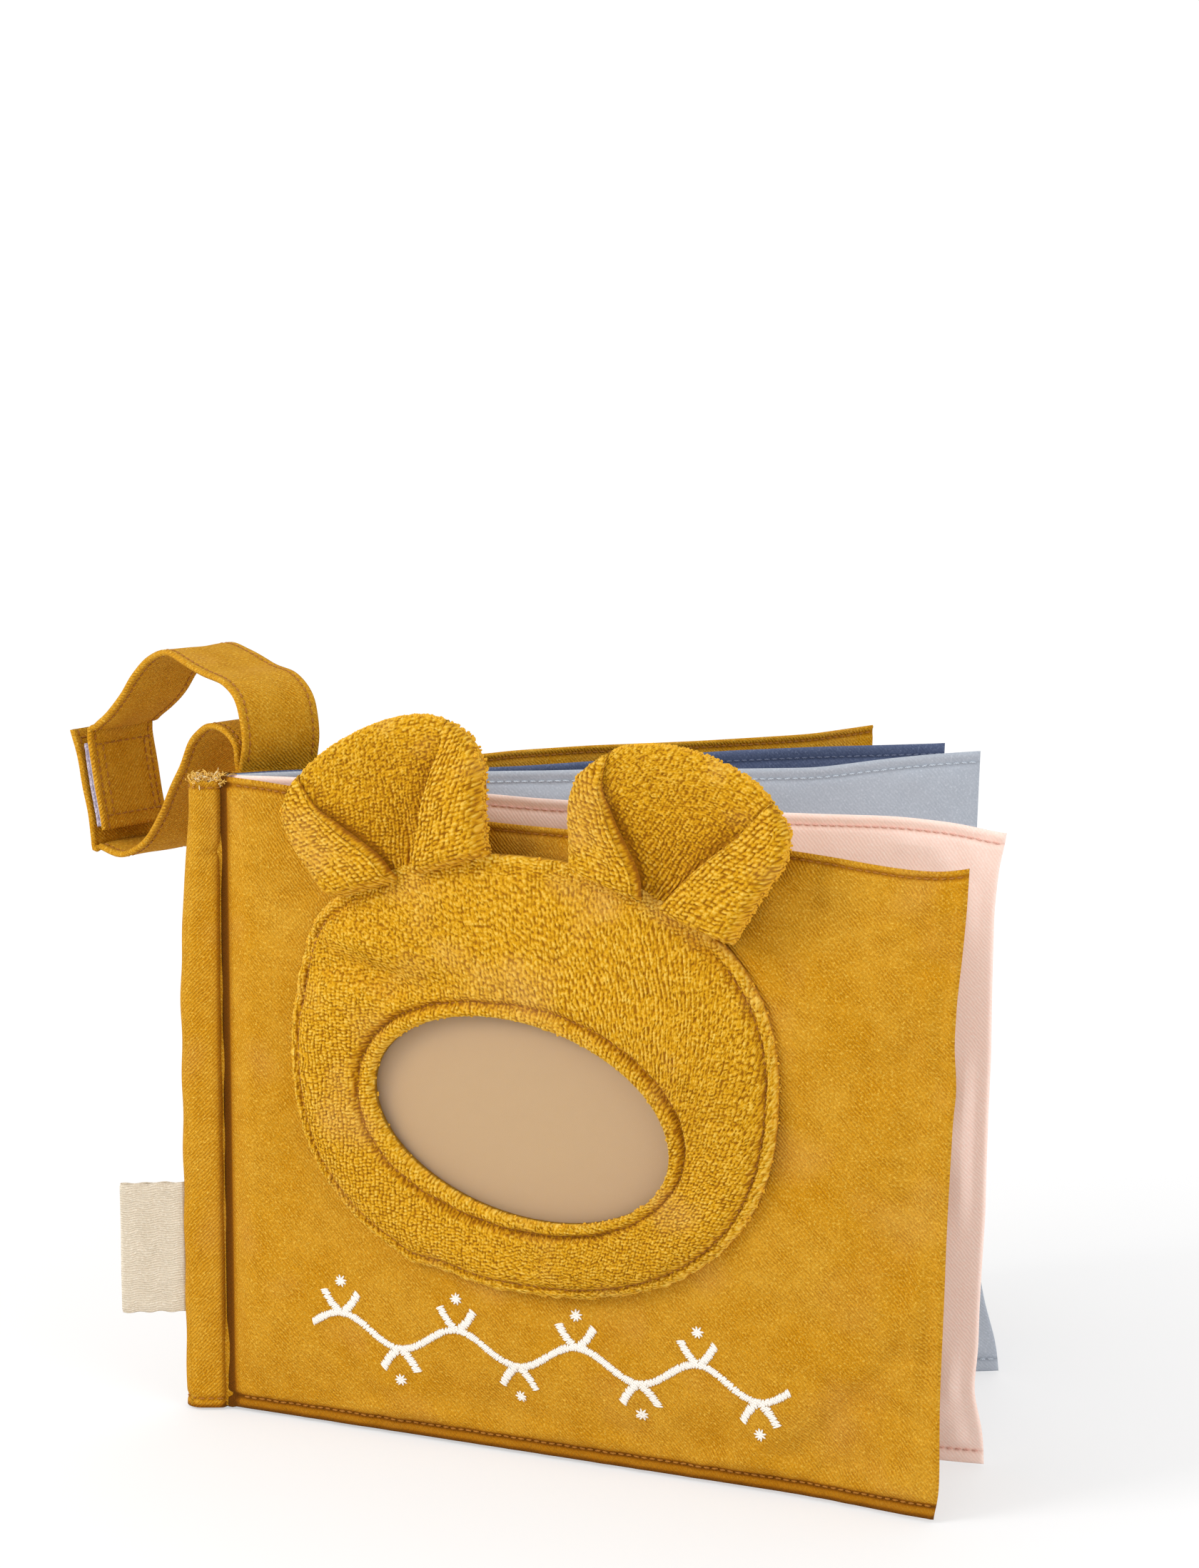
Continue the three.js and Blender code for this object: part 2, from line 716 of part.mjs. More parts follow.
function flapPath() {
  const { along } = patchRun(flapOff);
  const root = bendPoint();
  const path = evenLines(0, flapLength, 4).map((reach) => {
    const lean = flapLean * (reach / flapLength) ** 3;
    return root.clone().addScaledVector(along, -reach).add(new THREE.Vector2(lean, 0));
  });
  const roll = strapRollShares.slice(0, -1).map(
    (share) => root.clone().addScaledVector(along, -share * strapHalf),
  );
  return [...roll, ...path];
}

function endFlap() {
  const path = flapPath();
  const rollHalves = strapRollFullShares.map((share) => share * strapHalf);
  return tapeSolid(path, path.map((unused, index) => rollHalves[index] ?? strapHalf), 0);
}

// The album, put together as it stands in its fan
const album = new THREE.Group();
album.add(
  piece('spine_binding', spineBinding(), 'ochreCotton'),
  piece('bound_margins', boundMargins(), 'liningCotton'),
  piece('label_tab', labelTab(), 'creamTape'),
);

const frontCover = paddedCover('front', frontCoverAngle, -coverPitch, cornerFlares.front, true);
frontCover.add(
  piece('photo_card', photoCard(), 'card'),
  piece('bear_head_lining', headLining(), 'liningCotton'),
  piece('bear_head_window', headPane(), 'clearFilm'),
  piece('bear_head', bearHead(), 'ochreTerry'),
  ear('left_ear', leftEarSeam),
  ear('right_ear', rightEarSeam),
);

const backCover = paddedCover('back', backCoverAngle, coverPitch, cornerFlares.back, false);
backCover.add(
  piece('strap_upper_arm', upperArm(), 'ochreCotton'),
  piece('strap_lower_arm', lowerArm(), 'ochreCotton'),
  piece('strap_hook_patch', patchSolid(hookPatchOff), 'hookTape'),
  piece('strap_loop_patch', patchSolid(loopPatchOff), 'hookTape'),
  piece('strap_end_flap', endFlap(), 'ochreCotton'),
);

album.add(
  frontCover,
  photoLeaf('pink', 'pinkCotton', pinkLeafAngle, -leafPitch, cornerFlares.pink),
  photoLeaf('pale_blue', 'paleBlueCotton', paleLeafAngle, 0, cornerFlares.pale),
  photoLeaf('navy', 'navyCotton', navyLeafAngle, leafPitch, cornerFlares.navy),
  backCover,
);

export default album;
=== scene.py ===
"""Looks for a fabric photo album that stands open like a fan. Metres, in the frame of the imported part:
+Z up the spine, +X from the spine to the fore-edges, and the front cover on the -Y side."""
import math

import bpy
import numpy as np
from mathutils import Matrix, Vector


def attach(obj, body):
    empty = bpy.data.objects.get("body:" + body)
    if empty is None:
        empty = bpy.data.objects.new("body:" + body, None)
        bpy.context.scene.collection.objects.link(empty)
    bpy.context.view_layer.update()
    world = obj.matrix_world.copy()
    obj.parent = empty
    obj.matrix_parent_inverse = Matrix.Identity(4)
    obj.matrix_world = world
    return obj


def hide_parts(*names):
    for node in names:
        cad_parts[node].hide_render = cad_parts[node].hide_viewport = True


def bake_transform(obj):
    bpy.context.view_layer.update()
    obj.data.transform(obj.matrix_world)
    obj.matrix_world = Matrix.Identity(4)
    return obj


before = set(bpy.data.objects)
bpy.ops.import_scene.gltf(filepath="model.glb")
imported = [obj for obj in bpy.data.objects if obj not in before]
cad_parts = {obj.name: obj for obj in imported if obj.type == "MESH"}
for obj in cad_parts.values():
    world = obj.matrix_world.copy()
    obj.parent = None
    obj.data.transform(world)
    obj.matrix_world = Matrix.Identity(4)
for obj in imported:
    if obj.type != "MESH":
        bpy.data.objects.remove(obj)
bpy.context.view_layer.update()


# The view. A long lens from a little above, square on to the fan, over a plain white floor.
# The lamps are large and soft, the strongest from the upper left.
camera_place, camera_pitch, camera_lens = (0.0996, -1.1842, 0.3896), math.radians(79.1), 110.7
floor_size, floor_drop, floor_grey = 40, 0.0007, (0.86, 0.86, 0.86, 1)
glow_strength, glow_middle, glow_near, glow_far, glow_least = 1.06, (0.1, 0, 0), 0.16, 0.75, 0.5
white, sky_strength, backdrop_strength = (1, 1, 1, 1), 0.8, 1.0
lamps_aim = (0.09, 0, 0.08)
lamps = [
    # place, size, watts
    ((-0.85, -0.45, 0.7), 0.5, 7.2),
    ((1.05, -1.15, 0.6), 0.9, 6.0),
    ((0.2, 1.2, 1.1), 1.2, 4),
]


def new_material(name):
    made = bpy.data.materials.new(name)
    made.use_nodes = True
    made.node_tree.nodes.clear()
    return made, made.node_tree


def node(tree, kind, values=None, **settings):
    """A node with its settings, and with values or other nodes' sockets on its inputs."""
    made = tree.nodes.new(kind if kind.startswith("NodeGroup") else f"ShaderNode{kind}")
    for key, value in settings.items():
        setattr(made, key, value)
    for key, value in (values or {}).items():
        if isinstance(value, bpy.types.NodeSocket):
            tree.links.new(value, made.inputs[key])
        else:
            made.inputs[key].default_value = value
    return made


def maths(tree, operation, *values):
    return node(tree, "Math", dict(enumerate(values)), operation=operation).outputs[0]


def vector_maths(tree, operation, *values):
    return node(tree, "VectorMath", dict(enumerate(values)), operation=operation).outputs


def seen_share(tree):
    """1 for rays that look at the background: straight, mirrored or through glass."""
    rays = node(tree, "LightPath").outputs
    straight = maths(tree, "MAXIMUM", rays["Is Camera Ray"], rays["Is Glossy Ray"])
    return maths(tree, "MAXIMUM", straight, rays["Is Transmission Ray"])


bpy.ops.object.select_all(action="DESELECT")
bpy.ops.object.camera_add(location=camera_place, rotation=(camera_pitch, 0, 0))
bpy.context.object.data.lens = camera_lens
bpy.context.scene.camera = bpy.context.object
bpy.context.scene.view_settings.view_transform = "Standard"

floor_white, tree = new_material("floor_white")
matt = node(tree, "BsdfDiffuse", {"Color": floor_grey})
glow = node(tree, "Emission", {"Color": white, "Strength": glow_strength})
away = vector_maths(tree, "DISTANCE", node(tree, "TexCoord").outputs["Object"], glow_middle)["Value"]
fading = node(tree, "MapRange", {"Value": away, "From Min": glow_near, "From Max": glow_far, "To Min": glow_least,
                                 "To Max": 1.0}, interpolation_type="SMOOTHSTEP").outputs["Result"]
seen = maths(tree, "MULTIPLY", seen_share(tree), fading)
floor_mix = node(tree, "MixShader", {0: seen, 1: matt.outputs[0], 2: glow.outputs[0]})
node(tree, "OutputMaterial", {"Surface": floor_mix.outputs[0]})
bpy.ops.mesh.primitive_plane_add(size=floor_size, location=(0, 0, -floor_drop))
floor = bpy.context.object
floor.name = "floor"
floor.data.materials.append(floor_white)

world = bpy.data.worlds.new("plain_white")
bpy.context.scene.world = world
world.use_nodes = True
tree = world.node_tree
tree.nodes.clear()
sky = node(tree, "Background", {"Color": white, "Strength": sky_strength})
backdrop = node(tree, "Background", {"Color": white, "Strength": backdrop_strength})
sky_mix = node(tree, "MixShader", {0: seen_share(tree), 1: sky.outputs[0], 2: backdrop.outputs[0]})
node(tree, "OutputWorld", {"Surface": sky_mix.outputs[0]})

for place, size, watts in lamps:
    bpy.ops.object.light_add(type="AREA", location=place)
    lamp = bpy.context.object
    lamp.data.size = size
    lamp.data.energy = watts
    lamp.rotation_euler = (Vector(lamps_aim) - Vector(place)).to_track_quat("-Z", "Y").to_euler()


# The bound margins. The five leaves' cut edges lie in one stack inside the spine, two cloths
# to a leaf in the leaf's own colour. Their ends show at the spine's head and foot.
cotton_colours = {
    # mean, deep in the weave (painted shade), lit thread (painted highlight)
    "ochre": ((0.585, 0.257, 0.0015), (0.34, 0.118, 0.001), (0.86, 0.55, 0.085)),
    "pink": ((0.985, 0.76, 0.67), (0.95, 0.67, 0.58), (0.99, 0.85, 0.79)),
    "pale_blue": ((0.41, 0.45, 0.51), (0.36, 0.4, 0.46), (0.56, 0.6, 0.66)),
    "navy": ((0.09, 0.115, 0.205), (0.06, 0.08, 0.15), (0.19, 0.23, 0.34)),
}
twill_pitch, twill_angle = 0.00072, math.radians(46)
leaf_height = 0.160
spine_rise = 0.004
margin_back_x, margin_front_x = -0.0048, 0.0078
margin_layers = [
    # name, colour, middle
    ("front_margin", "ochre", -0.0026), ("pink_margin", "pink", -0.0013), ("pale_blue_margin", "pale_blue", 0),
    ("navy_margin", "navy", 0.0013), ("back_margin", "ochre", 0.0026)]
margin_cloth, margin_foot, margin_drop = 0.00052, 0.0004, 0.0016
margin_narrowing, narrowing_from = 0.0024, 0.105
fray_from, fray_length, fray_rise = 0.15, 0.014, 0.0007


def effect(name, inputs, outputs):
    """An empty node group with named sockets."""
    group = bpy.data.node_groups.new(name, "ShaderNodeTree")
    for kind, sockets in (("INPUT", inputs), ("OUTPUT", outputs)):
        for socket_name, socket_type in sockets.items():
            group.interface.new_socket(name=socket_name, in_out=kind, socket_type=f"NodeSocket{socket_type}")
    return group, node(group, "NodeGroupInput").outputs


def spread(tree, value, low, high, to_low=0.0, to_high=1.0):
    return node(tree, "MapRange", {"Value": value, "From Min": low, "From Max": high, "To Min": to_low,
                                   "To Max": to_high}).outputs["Result"]


def blended(tree, share, first, second, kind="MIX"):
    return node(tree, "Mix", {"Factor": share, 6: first, 7: second}, data_type="RGBA", blend_type=kind).outputs[2]


def grained(tree, place, scale, detail=2.0, roughness=0.5):
    return node(tree, "TexNoise", {"Vector": place, "Scale": scale, "Detail": detail,
                                   "Roughness": roughness}).outputs["Fac"]


def skinned(tree, look):
    """Ends a material with its one skin."""
    node(tree, "OutputMaterial", {"Surface": node(tree, "BsdfPrincipled", look).outputs[0]})


# Twill weave: fine diagonal ridges, broken by the crossing threads, with uneven dye, light fuzz, dark slubs and
# painted shade in its hollows. Painted shade darkens the cloth along its seams, where the thread draws it in, and
# painted sheen lightens it in patches.
weave, sent = effect("woven_cloth", {
    "Place": "Vector", "Seam": "Float", "Dye": "Color", "Deep": "Color", "Lit": "Color", "Ridge Pitch": "Float",
    "Ridge Angle": "Float", "Relief": "Float", "Unevenness": "Float", "Painted Sheen": "Float",
}, {"Color": "Color", "Roughness": "Float", "Normal": "Vector"})
place = sent["Place"]
turned = node(weave, "VectorRotate", {"Vector": place, "Angle": sent["Ridge Angle"]}, rotation_type="Z_AXIS")
wavering = node(weave, "TexNoise", {"Vector": place, "Scale": 420.0, "Detail": 2.0}).outputs["Color"]
shaken = vector_maths(weave, "MULTIPLY", wavering, (0.0009, 0.0009, 0.0009))[0]
run = node(weave, "SeparateXYZ", {0: vector_maths(weave, "ADD", turned.outputs[0], shaken)[0]}).outputs
waves = []
for axis, turns in (("Y", 2 * math.pi), ("X", 1.3 * math.pi)):
    phase = maths(weave, "MULTIPLY", maths(weave, "DIVIDE", run[axis], sent["Ridge Pitch"]), turns)
    waves.append(maths(weave, "MULTIPLY_ADD", maths(weave, "SINE", phase), 0.5, 0.5))
ridge, knuckle = waves
speck = grained(weave, place, 1500.0, 3.0, 0.8)
patchy = grained(weave, place, 160.0, 3.0, 0.6)
cloudy = grained(weave, place, 44.0, 3.0, 0.55)
broken = maths(weave, "MULTIPLY", maths(weave, "MULTIPLY_ADD", knuckle, 0.35, 0.65), ridge)
cloth_height = maths(weave, "ADD", broken, maths(weave, "MULTIPLY", speck, 0.9))
worn = maths(weave, "ADD", maths(weave, "MULTIPLY", spread(weave, cloudy, 0.36, 0.66), 0.62),
             maths(weave, "MULTIPLY", spread(weave, patchy, 0.3, 0.7), 0.38))
toned = blended(weave, maths(weave, "MULTIPLY", worn, sent["Unevenness"]), sent["Dye"], sent["Lit"])
clear = maths(weave, "MULTIPLY", spread(weave, patchy, 0.35, 0.6, 1.0, 0.35), 0.75)
# The weave's hollows take the deep colour as painted shade
painted_hollow_shade = maths(weave, "MULTIPLY", spread(weave, cloth_height, 0.35, 1.05, 1.0, 0.0), clear)
shaded = blended(weave, painted_hollow_shade, toned, sent["Deep"])
fuzzed = blended(weave, spread(weave, speck, 0.53, 0.68, 0.0, 0.8), shaded, sent["Lit"])
slubbed = blended(weave, spread(weave, speck, 0.44, 0.3, 0.0, 0.55), fuzzed, sent["Deep"])
# Painted sheen: soft pale patches, as light catching on the nap
sheen_patch_mask = spread(weave, grained(weave, place, 31.0, 2.0, 0.5), 0.54, 0.68)
sheen_patched = blended(weave, maths(weave, "MULTIPLY", sheen_patch_mask, sent["Painted Sheen"]), slubbed, (0.72, 0.4, 0.17, 1))
# Painted shade: the seam mark mixes in the deep colour along seams, valleys, creases and the foot, and past 1 darkens
# it further
sewn = blended(weave, maths(weave, "MULTIPLY", sent["Seam"], 0.8), sheen_patched, sent["Deep"])
sewn = blended(weave, maths(weave, "SUBTRACT", sent["Seam"], 1.0), sewn, (0.3, 0.24, 0.2, 1), "MULTIPLY")
bumped = node(weave, "Bump", {"Strength": sent["Relief"], "Distance": 0.00028, "Height": cloth_height})
node(weave, "NodeGroupOutput", {"Color": sewn, "Roughness": spread(weave, speck, 0.3, 0.7, 0.86, 1.0),
                                "Normal": bumped.outputs[0]})


def cotton(name, colours, pitch=twill_pitch, angle=twill_angle, relief=0.3, sheen=0.08, unevenness=0.2, painted_sheen=0.0):
    """Dyed cotton whose weave follows the piece's own UV map, in metres."""
    made, tree = new_material(name)
    dye, deep, lit = [(*colour, 1) for colour in colours]
    cloth = node(tree, "Group", {
        "Place": node(tree, "TexCoord").outputs["UV"],
        "Seam": node(tree, "Attribute", attribute_name="seam").outputs["Fac"],
        "Dye": dye, "Deep": deep, "Lit": lit, "Ridge Pitch": pitch, "Ridge Angle": angle,
        "Relief": relief, "Unevenness": unevenness, "Painted Sheen": painted_sheen}, node_tree=weave).outputs
    skinned(tree, {"Base Color": cloth["Color"], "Roughness": cloth["Roughness"], "Normal": cloth["Normal"],
                   "Sheen Weight": sheen, "Sheen Roughness": 0.45, "Sheen Tint": lit, "Specular IOR Level": 0.12})
    return made


cottons = {name: cotton(f"{name}_cotton", colours, relief=0.16, unevenness=0.15)
           for name, colours in cotton_colours.items() if name != "ochre"}
cottons["ochre"] = cotton("ochre_cotton", cotton_colours["ochre"], relief=0.9, unevenness=0.25, painted_sheen=0.1)


def dressed(made, material):
    made.data.materials.append(material)
    return made


def flat_grid(name, columns, rows, size=2):
    bpy.ops.object.select_all(action="DESELECT")
    bpy.ops.mesh.primitive_grid_add(x_subdivisions=columns, y_subdivisions=rows, size=size)
    made = bpy.context.object
    made.name = made.data.name = name
    return made


def thickened(made, thickness):
    thicken = made.modifiers.new("thickness", "SOLIDIFY")
    thicken.thickness, thicken.offset = thickness, 0
    bpy.ops.object.modifier_apply(modifier=thicken.name)


def mesh_points(made):
    flat = np.zeros(len(made.data.vertices) * 3, np.float32)
    made.data.vertices.foreach_get("co", flat)
    return flat.reshape(-1, 3)


def laid_out(made, points, cut):
    """Brings a piece's points to their places, and its UV map to their places on the cut cloth."""
    corner = np.zeros(len(made.data.loops), np.int32)
    made.data.loops.foreach_get("vertex_index", corner)
    made.data.vertices.foreach_set("co", points.astype(np.float32).ravel())
    made.data.uv_layers.active.data.foreach_set("uv", cut[corner].astype(np.float32).ravel())


def marked(made, mark, values):
    """Values by point that the materials read: a seam's painted shade, or the stand of the pile with the terry's
    painted shade and highlights.
    """
    made.data.attributes.new(mark, "FLOAT", "POINT").data.foreach_set("value", values.astype(np.float32).ravel())


def closed_sheet(name, front, back, across, up, **marks):
    """A closed sheet between two surfaces, given as arrays of points by row and column, with
    their places on the cut cloth and the `marks` of both faces."""
    rows, columns = front.shape[:2]
    sheet = flat_grid(name, columns - 1, rows - 1)
    thickened(sheet, 0.1)
    flat = mesh_points(sheet)
    column = np.rint((flat[:, 0] + 1) / 2 * (columns - 1)).astype(int)
    row = np.rint((flat[:, 1] + 1) / 2 * (rows - 1)).astype(int)
    raised = flat[:, 2] > 0
    laid_out(sheet, np.where(raised[:, None], front[row, column], back[row, column]),
             np.stack([across[row, column], up[row, column]], axis=-1))
    for mark, (on_front, on_back) in marks.items():
        marked(sheet, mark, np.where(raised, on_front[row, column], on_back[row, column]))
    bpy.ops.object.shade_smooth()
    return sheet


def lines(start, end, step):
    return np.linspace(start, end, max(2, int(round(abs(end - start) / step)) + 1))


def eased(value, start=0.0, end=1.0):
    share = np.clip((value - start) / (end - start), 0, 1)
    return share * share * (3 - 2 * share)


def bell(value, middle, width):
    return np.exp(-((value - middle) / width) ** 2)


def unit(vectors):
    return vectors / np.linalg.norm(vectors, axis=-1, keepdims=True)


def rolling(across, up, seed, scale):
    """Soft unevenness from a few crossed waves, about -1 to 1."""
    draw = np.random.default_rng(seed)
    waves = draw.uniform(0, math.pi, 6), draw.uniform(0, 6.3, 6), draw.uniform(0.6, 1.7, 6)
    total = 0
    for turn, phase, stretch in zip(*waves):
        total = total + np.sin((across * math.cos(turn) + up * math.sin(turn)) * stretch * 6.3 / scale + phase)
    return total / 3.4


margin_width, margin_height = margin_front_x - margin_back_x, leaf_height + spine_rise
for index, (name, colour, middle) in enumerate(margin_layers):
    across, up = np.meshgrid(lines(margin_back_x, margin_front_x, 0.0006),
                             lines(margin_foot, margin_height - margin_drop, 0.004))
    fray = fray_rise * np.clip((up - fray_from) / fray_length, 0, 1) * rolling(across, up * 0, index, 0.004)
    bow = middle + 0.0002 * rolling(across, up, index + 9, 0.03)
    drawn_in = (margin_front_x - across) / margin_width * margin_narrowing
    drawn = across + drawn_in * eased(up, narrowing_from, margin_height)
    surfaces = [np.stack([drawn, bow + side * margin_cloth, up + fray], axis=-1) for side in (-1, 1)]
    layer = dressed(closed_sheet(name, *surfaces, across, up), cottons[colour])
    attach(layer, "spine")
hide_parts("bound_margins")


# The spine. One strip of the covers' cotton wraps the margins from valley to valley, with a row of
# stitches down each valley, a cross row near its head and a crease where the strip bulges.
spine_half, spine_bulge, spine_seam, spine_cloth = 0.0061, 0.0044, 0.0033, 0.0008
spine_top = leaf_height + spine_rise - 0.001
spine_crease, crease_half = 0.1452, 0.003
spine_cross_rows = ((spine_top - 0.0016, 0.0007), (0.0024, 0.0008))
spine_narrowing = 0.003
valley_dip, crease_dip, row_dip, spine_unevenness, head_bulge = 0.0017, 0.0008, 0.00045, 0.00035, 0.0004
# Levels of the painted shade that the seam mark lays on the valleys, the crease, the cross rows and the foot
seam_dark, crease_dark, row_dark, foot_dark = 1.9, 0.8, 0.7, 1.3
stitch_pitch, thread_width = 0.0021, 0.00052


def thread_material(name, colour, deep):
    made, tree = new_material(name)
    twist = node(tree, "TexWave", {"Vector": node(tree, "TexCoord").outputs["Object"], "Scale": 900.0,
                                   "Distortion": 2.0, "Detail": 1.0}, bands_direction="DIAGONAL").outputs["Fac"]
    tone = blended(tree, spread(tree, twist, 0.2, 0.9, 0.55, 0.0), (*colour, 1), (*deep, 1))
    bump = node(tree, "Bump", {"Strength": 0.5, "Distance": 0.00008, "Height": twist})
    skinned(tree, {"Base Color": tone, "Roughness": 0.7, "Normal": bump.outputs[0], "Sheen Weight": 0.3,
                   "Sheen Tint": (*colour, 1)})
    return made


threads = {
    # The ochre thread is darker than the cloth's dye, as painted shade for the shadow round its stitches
    "ochre": thread_material("ochre_thread", (0.42, 0.165, 0.004), (0.2, 0.06, 0.001)),
    "ochre_fuzz": thread_material("ochre_fuzz", (0.85, 0.52, 0.1), (0.6, 0.32, 0.04)),
    "cream_fuzz": thread_material("cream_fuzz", (0.95, 0.78, 0.45), (0.75, 0.55, 0.27)),
    "pink": thread_material("pink_thread", (0.8, 0.47, 0.39), (0.55, 0.27, 0.21)),
    "pale_blue": thread_material("pale_blue_thread", (0.58, 0.64, 0.7), (0.25, 0.3, 0.37)),
    "navy": thread_material("navy_thread", (0.14, 0.17, 0.27), (0.03, 0.04, 0.08)),
    "white": thread_material("white_thread", (0.93, 0.9, 0.84), (0.72, 0.66, 0.57)),
}


def new_piece(name, points, faces):
    mesh = bpy.data.meshes.new(name)
    mesh.from_pydata(points, [], faces)
    mesh.polygons.foreach_set("use_smooth", np.ones(len(mesh.polygons), bool))
    made = bpy.data.objects.new(name, mesh)
    bpy.context.scene.collection.objects.link(made)
    return made


# Every stitch and loop is a copy of one closed bead: a cube, cut once and drawn to a ball
bpy.ops.object.select_all(action="DESELECT")
bpy.ops.mesh.primitive_cube_add(size=2)
bead = bpy.context.object
bpy.ops.object.mode_set(mode="EDIT")
bpy.ops.mesh.subdivide(number_cuts=1, smoothness=0)
bpy.ops.transform.tosphere(value=1)
bpy.ops.object.mode_set(mode="OBJECT")
bead_points = unit(np.array([vertex.co for vertex in bead.data.vertices]))
bead_faces = np.array([list(face.vertices) for face in bead.data.polygons])
bpy.data.objects.remove(bead)


def gathered(name, placings, material):
    """Beads at many places, kept as one piece."""
    matrices = np.array(placings)
    spots = np.einsum("nij,pj->npi", matrices[:, :3, :3], bead_points) + matrices[:, None, :3, 3]
    every = bead_faces[None] + (np.arange(len(matrices)) * len(bead_points))[:, None, None]
    made = new_piece(name, spots.reshape(-1, 3).tolist(), every.reshape(-1, 4).tolist())
    return dressed(made, material)


def run_along(points):
    """How far along a path each of its points lies."""
    return np.concatenate([[0], np.cumsum(np.linalg.norm(np.diff(points, axis=0), axis=1))])


def placing(columns, spot):
    found = np.eye(4)
    found[:3, :3] = np.array(columns).T
    found[:3, 3] = spot
    return found


def stitch_places(path, facing, pitch=stitch_pitch, size=(0.0018, thread_width, 0.0006), turn=0.0, seed=1,
                  lift=0.0001, wander=0.07):
    """Frames for stitches along a path that lies on cloth. `facing` holds the cloth's normals."""
    lengths = run_along(path)
    count = max(1, int(lengths[-1] / pitch))
    draw = np.random.default_rng(seed)
    found = []
    for stop in (np.arange(count) + 0.5) * lengths[-1] / count:
        spot, ahead, normal = [np.array([np.interp(at, lengths, values[:, axis]) for axis in range(3)])
                               for at, values in ((stop, path), (stop + pitch / 4, path), (stop, facing))]
        along = ahead - spot
        normal = unit(normal)
        along = unit(along - normal * (along @ normal))
        angle = turn + draw.normal(0, wander)
        side = np.cross(normal, along)
        along, side = (along * math.cos(angle) + side * math.sin(angle),
                       side * math.cos(angle) - along * math.sin(angle))
        stretch = draw.uniform(0.9, 1.08)
        found.append(placing([along * size[0] / 2 * stretch, side * size[1] / 2, normal * size[2] / 2],
                             spot + normal * lift))
    return found


def strands(name, paths, radius, sides=5):
    """Closed thin threads along smooth paths, kept as one piece."""
    points, faces = [], []
    turns = np.arange(sides) * 2 * math.pi / sides
    for path in paths:
        path = np.asarray(path, float)
        start, last = len(points), len(path) - 1
        for index, spot in enumerate(path):
            along = unit(path[min(index + 1, last)] - path[max(index - 1, 0)])
            side = unit(np.cross(along, [0.31, 0.83, 0.47]))
            other = np.cross(along, side)
            slim = radius * (0.6 if index in (0, last) else 1)
            points += [spot + slim * (math.cos(turn) * side + math.sin(turn) * other) for turn in turns]
        for ring in range(last):
            for step in range(sides):
                first, second = [start + ring * sides + corner % sides for corner in (step, step + 1)]
                faces.append([first, second, second + sides, first + sides])
        faces.append([start + step for step in reversed(range(sides))])
        faces.append([start + last * sides + step for step in range(sides)])
    return new_piece(name, [tuple(point) for point in points], faces)


def spine_section(reach):
    """The strip's outer line from the front valley (0) round the back to the rear valley (1)."""
    straight = 2 * spine_half - spine_bulge
    total = 2 * straight + math.pi * spine_bulge
    at = reach * total
    side = np.where(at < total / 2, -1.0, 1.0)
    run = np.where(at < total / 2, at, total - at)
    swell = np.sin(np.clip(run / (0.62 * straight), 0, 1) * math.pi / 2)
    turn = np.clip(run - straight, 0, None) / spine_bulge
    x = np.where(run < straight, spine_half - run, -spine_half + spine_bulge - spine_bulge * np.sin(turn))
    y = np.where(run < straight, spine_seam + (spine_bulge - spine_seam) * swell, spine_bulge * np.cos(turn))
    return x, side * y, at, run


def over_crease(up):
    return eased(up, spine_crease - crease_half, spine_crease + crease_half)


def spine_surface(reach, up, inset=0.0):
    """The strip dips at its valleys, crease and cross rows, bulges between them, and is drawn
    towards the leaves at its head."""
    x, y, at, run = spine_section(reach)
    dip = valley_dip * (1 - eased(run, 0.0008, 0.0028)) * (1 - 0.5 * over_crease(up))
    dip = dip + crease_dip * bell(up, spine_crease, 0.0016) * bell(run, 0.002, 0.004)
    for row, width in spine_cross_rows:
        dip = dip + row_dip * bell(up, row, width)
    bulge = spine_unevenness * rolling(at * 0.6, up, 4, 0.03) + head_bulge * bell(up, spine_crease - 0.009, 0.007)
    bulge = bulge * np.clip(run / 0.004, 0, 1)
    middle = spine_bulge - spine_half
    scale = 1 + (bulge - dip - inset) / np.hypot(y, np.minimum(x - middle, 0) + 1e-9).clip(0.003)
    x = np.where(x < middle, middle + (x - middle) * scale, x)
    drawn_in = (spine_half - x) / (2 * spine_half) * spine_narrowing * eased(up, narrowing_from, spine_top)
    return np.stack([x + drawn_in, y * scale, up], axis=-1), at


reach, up = np.meshgrid(np.linspace(0, 1, 120), np.unique(np.concatenate([
    lines(0, 0.006, 0.0005), lines(0.006, 0.138, 0.0015), lines(0.138, 0.152, 0.0006),
    lines(0.152, spine_top, 0.0006)])))
ragged = 0.0003 * rolling(reach * 0.03, up * 0, 5, 0.003) * np.clip((up - spine_top + 0.003) / 0.003, 0, 1)
outer, at = spine_surface(reach, up)
inner, _ = spine_surface(reach, up, spine_cloth)
outer[..., 2] += ragged
inner[..., 2] += ragged
run = spine_section(reach)[3]
# Painted shade where shade falls: in the valleys, the crease and the cross rows, and under the foot
seam = seam_dark * (1 - eased(run, 0.0002, 0.004)) * (1 - 0.35 * over_crease(up))
seam = seam + crease_dark * bell(up, spine_crease, 0.0005) * bell(run, 0.0016, 0.003)
for row, _ in spine_cross_rows:
    seam = seam + row_dark * bell(up, row, 0.0005)
seam = np.clip(seam + foot_dark * (1 - eased(up, 0.0004, 0.0016)), 0, seam_dark)
outer, inner, at, up, seam = [part[:, ::-1] for part in (outer, inner, at, up, seam)]
spine = closed_sheet("spine_cloth", outer, inner, at, up, seam=(seam, 0 * seam))
dressed(spine, cottons["ochre"])
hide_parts("spine_binding")
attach(spine, "spine")


def spine_path(reach, up):
    points, _ = spine_surface(reach, up)
    beside, _ = spine_surface(reach + 0.004, up)
    above, _ = spine_surface(reach, up + 0.0004)
    return points, unit(-np.cross(beside - points, above - points))


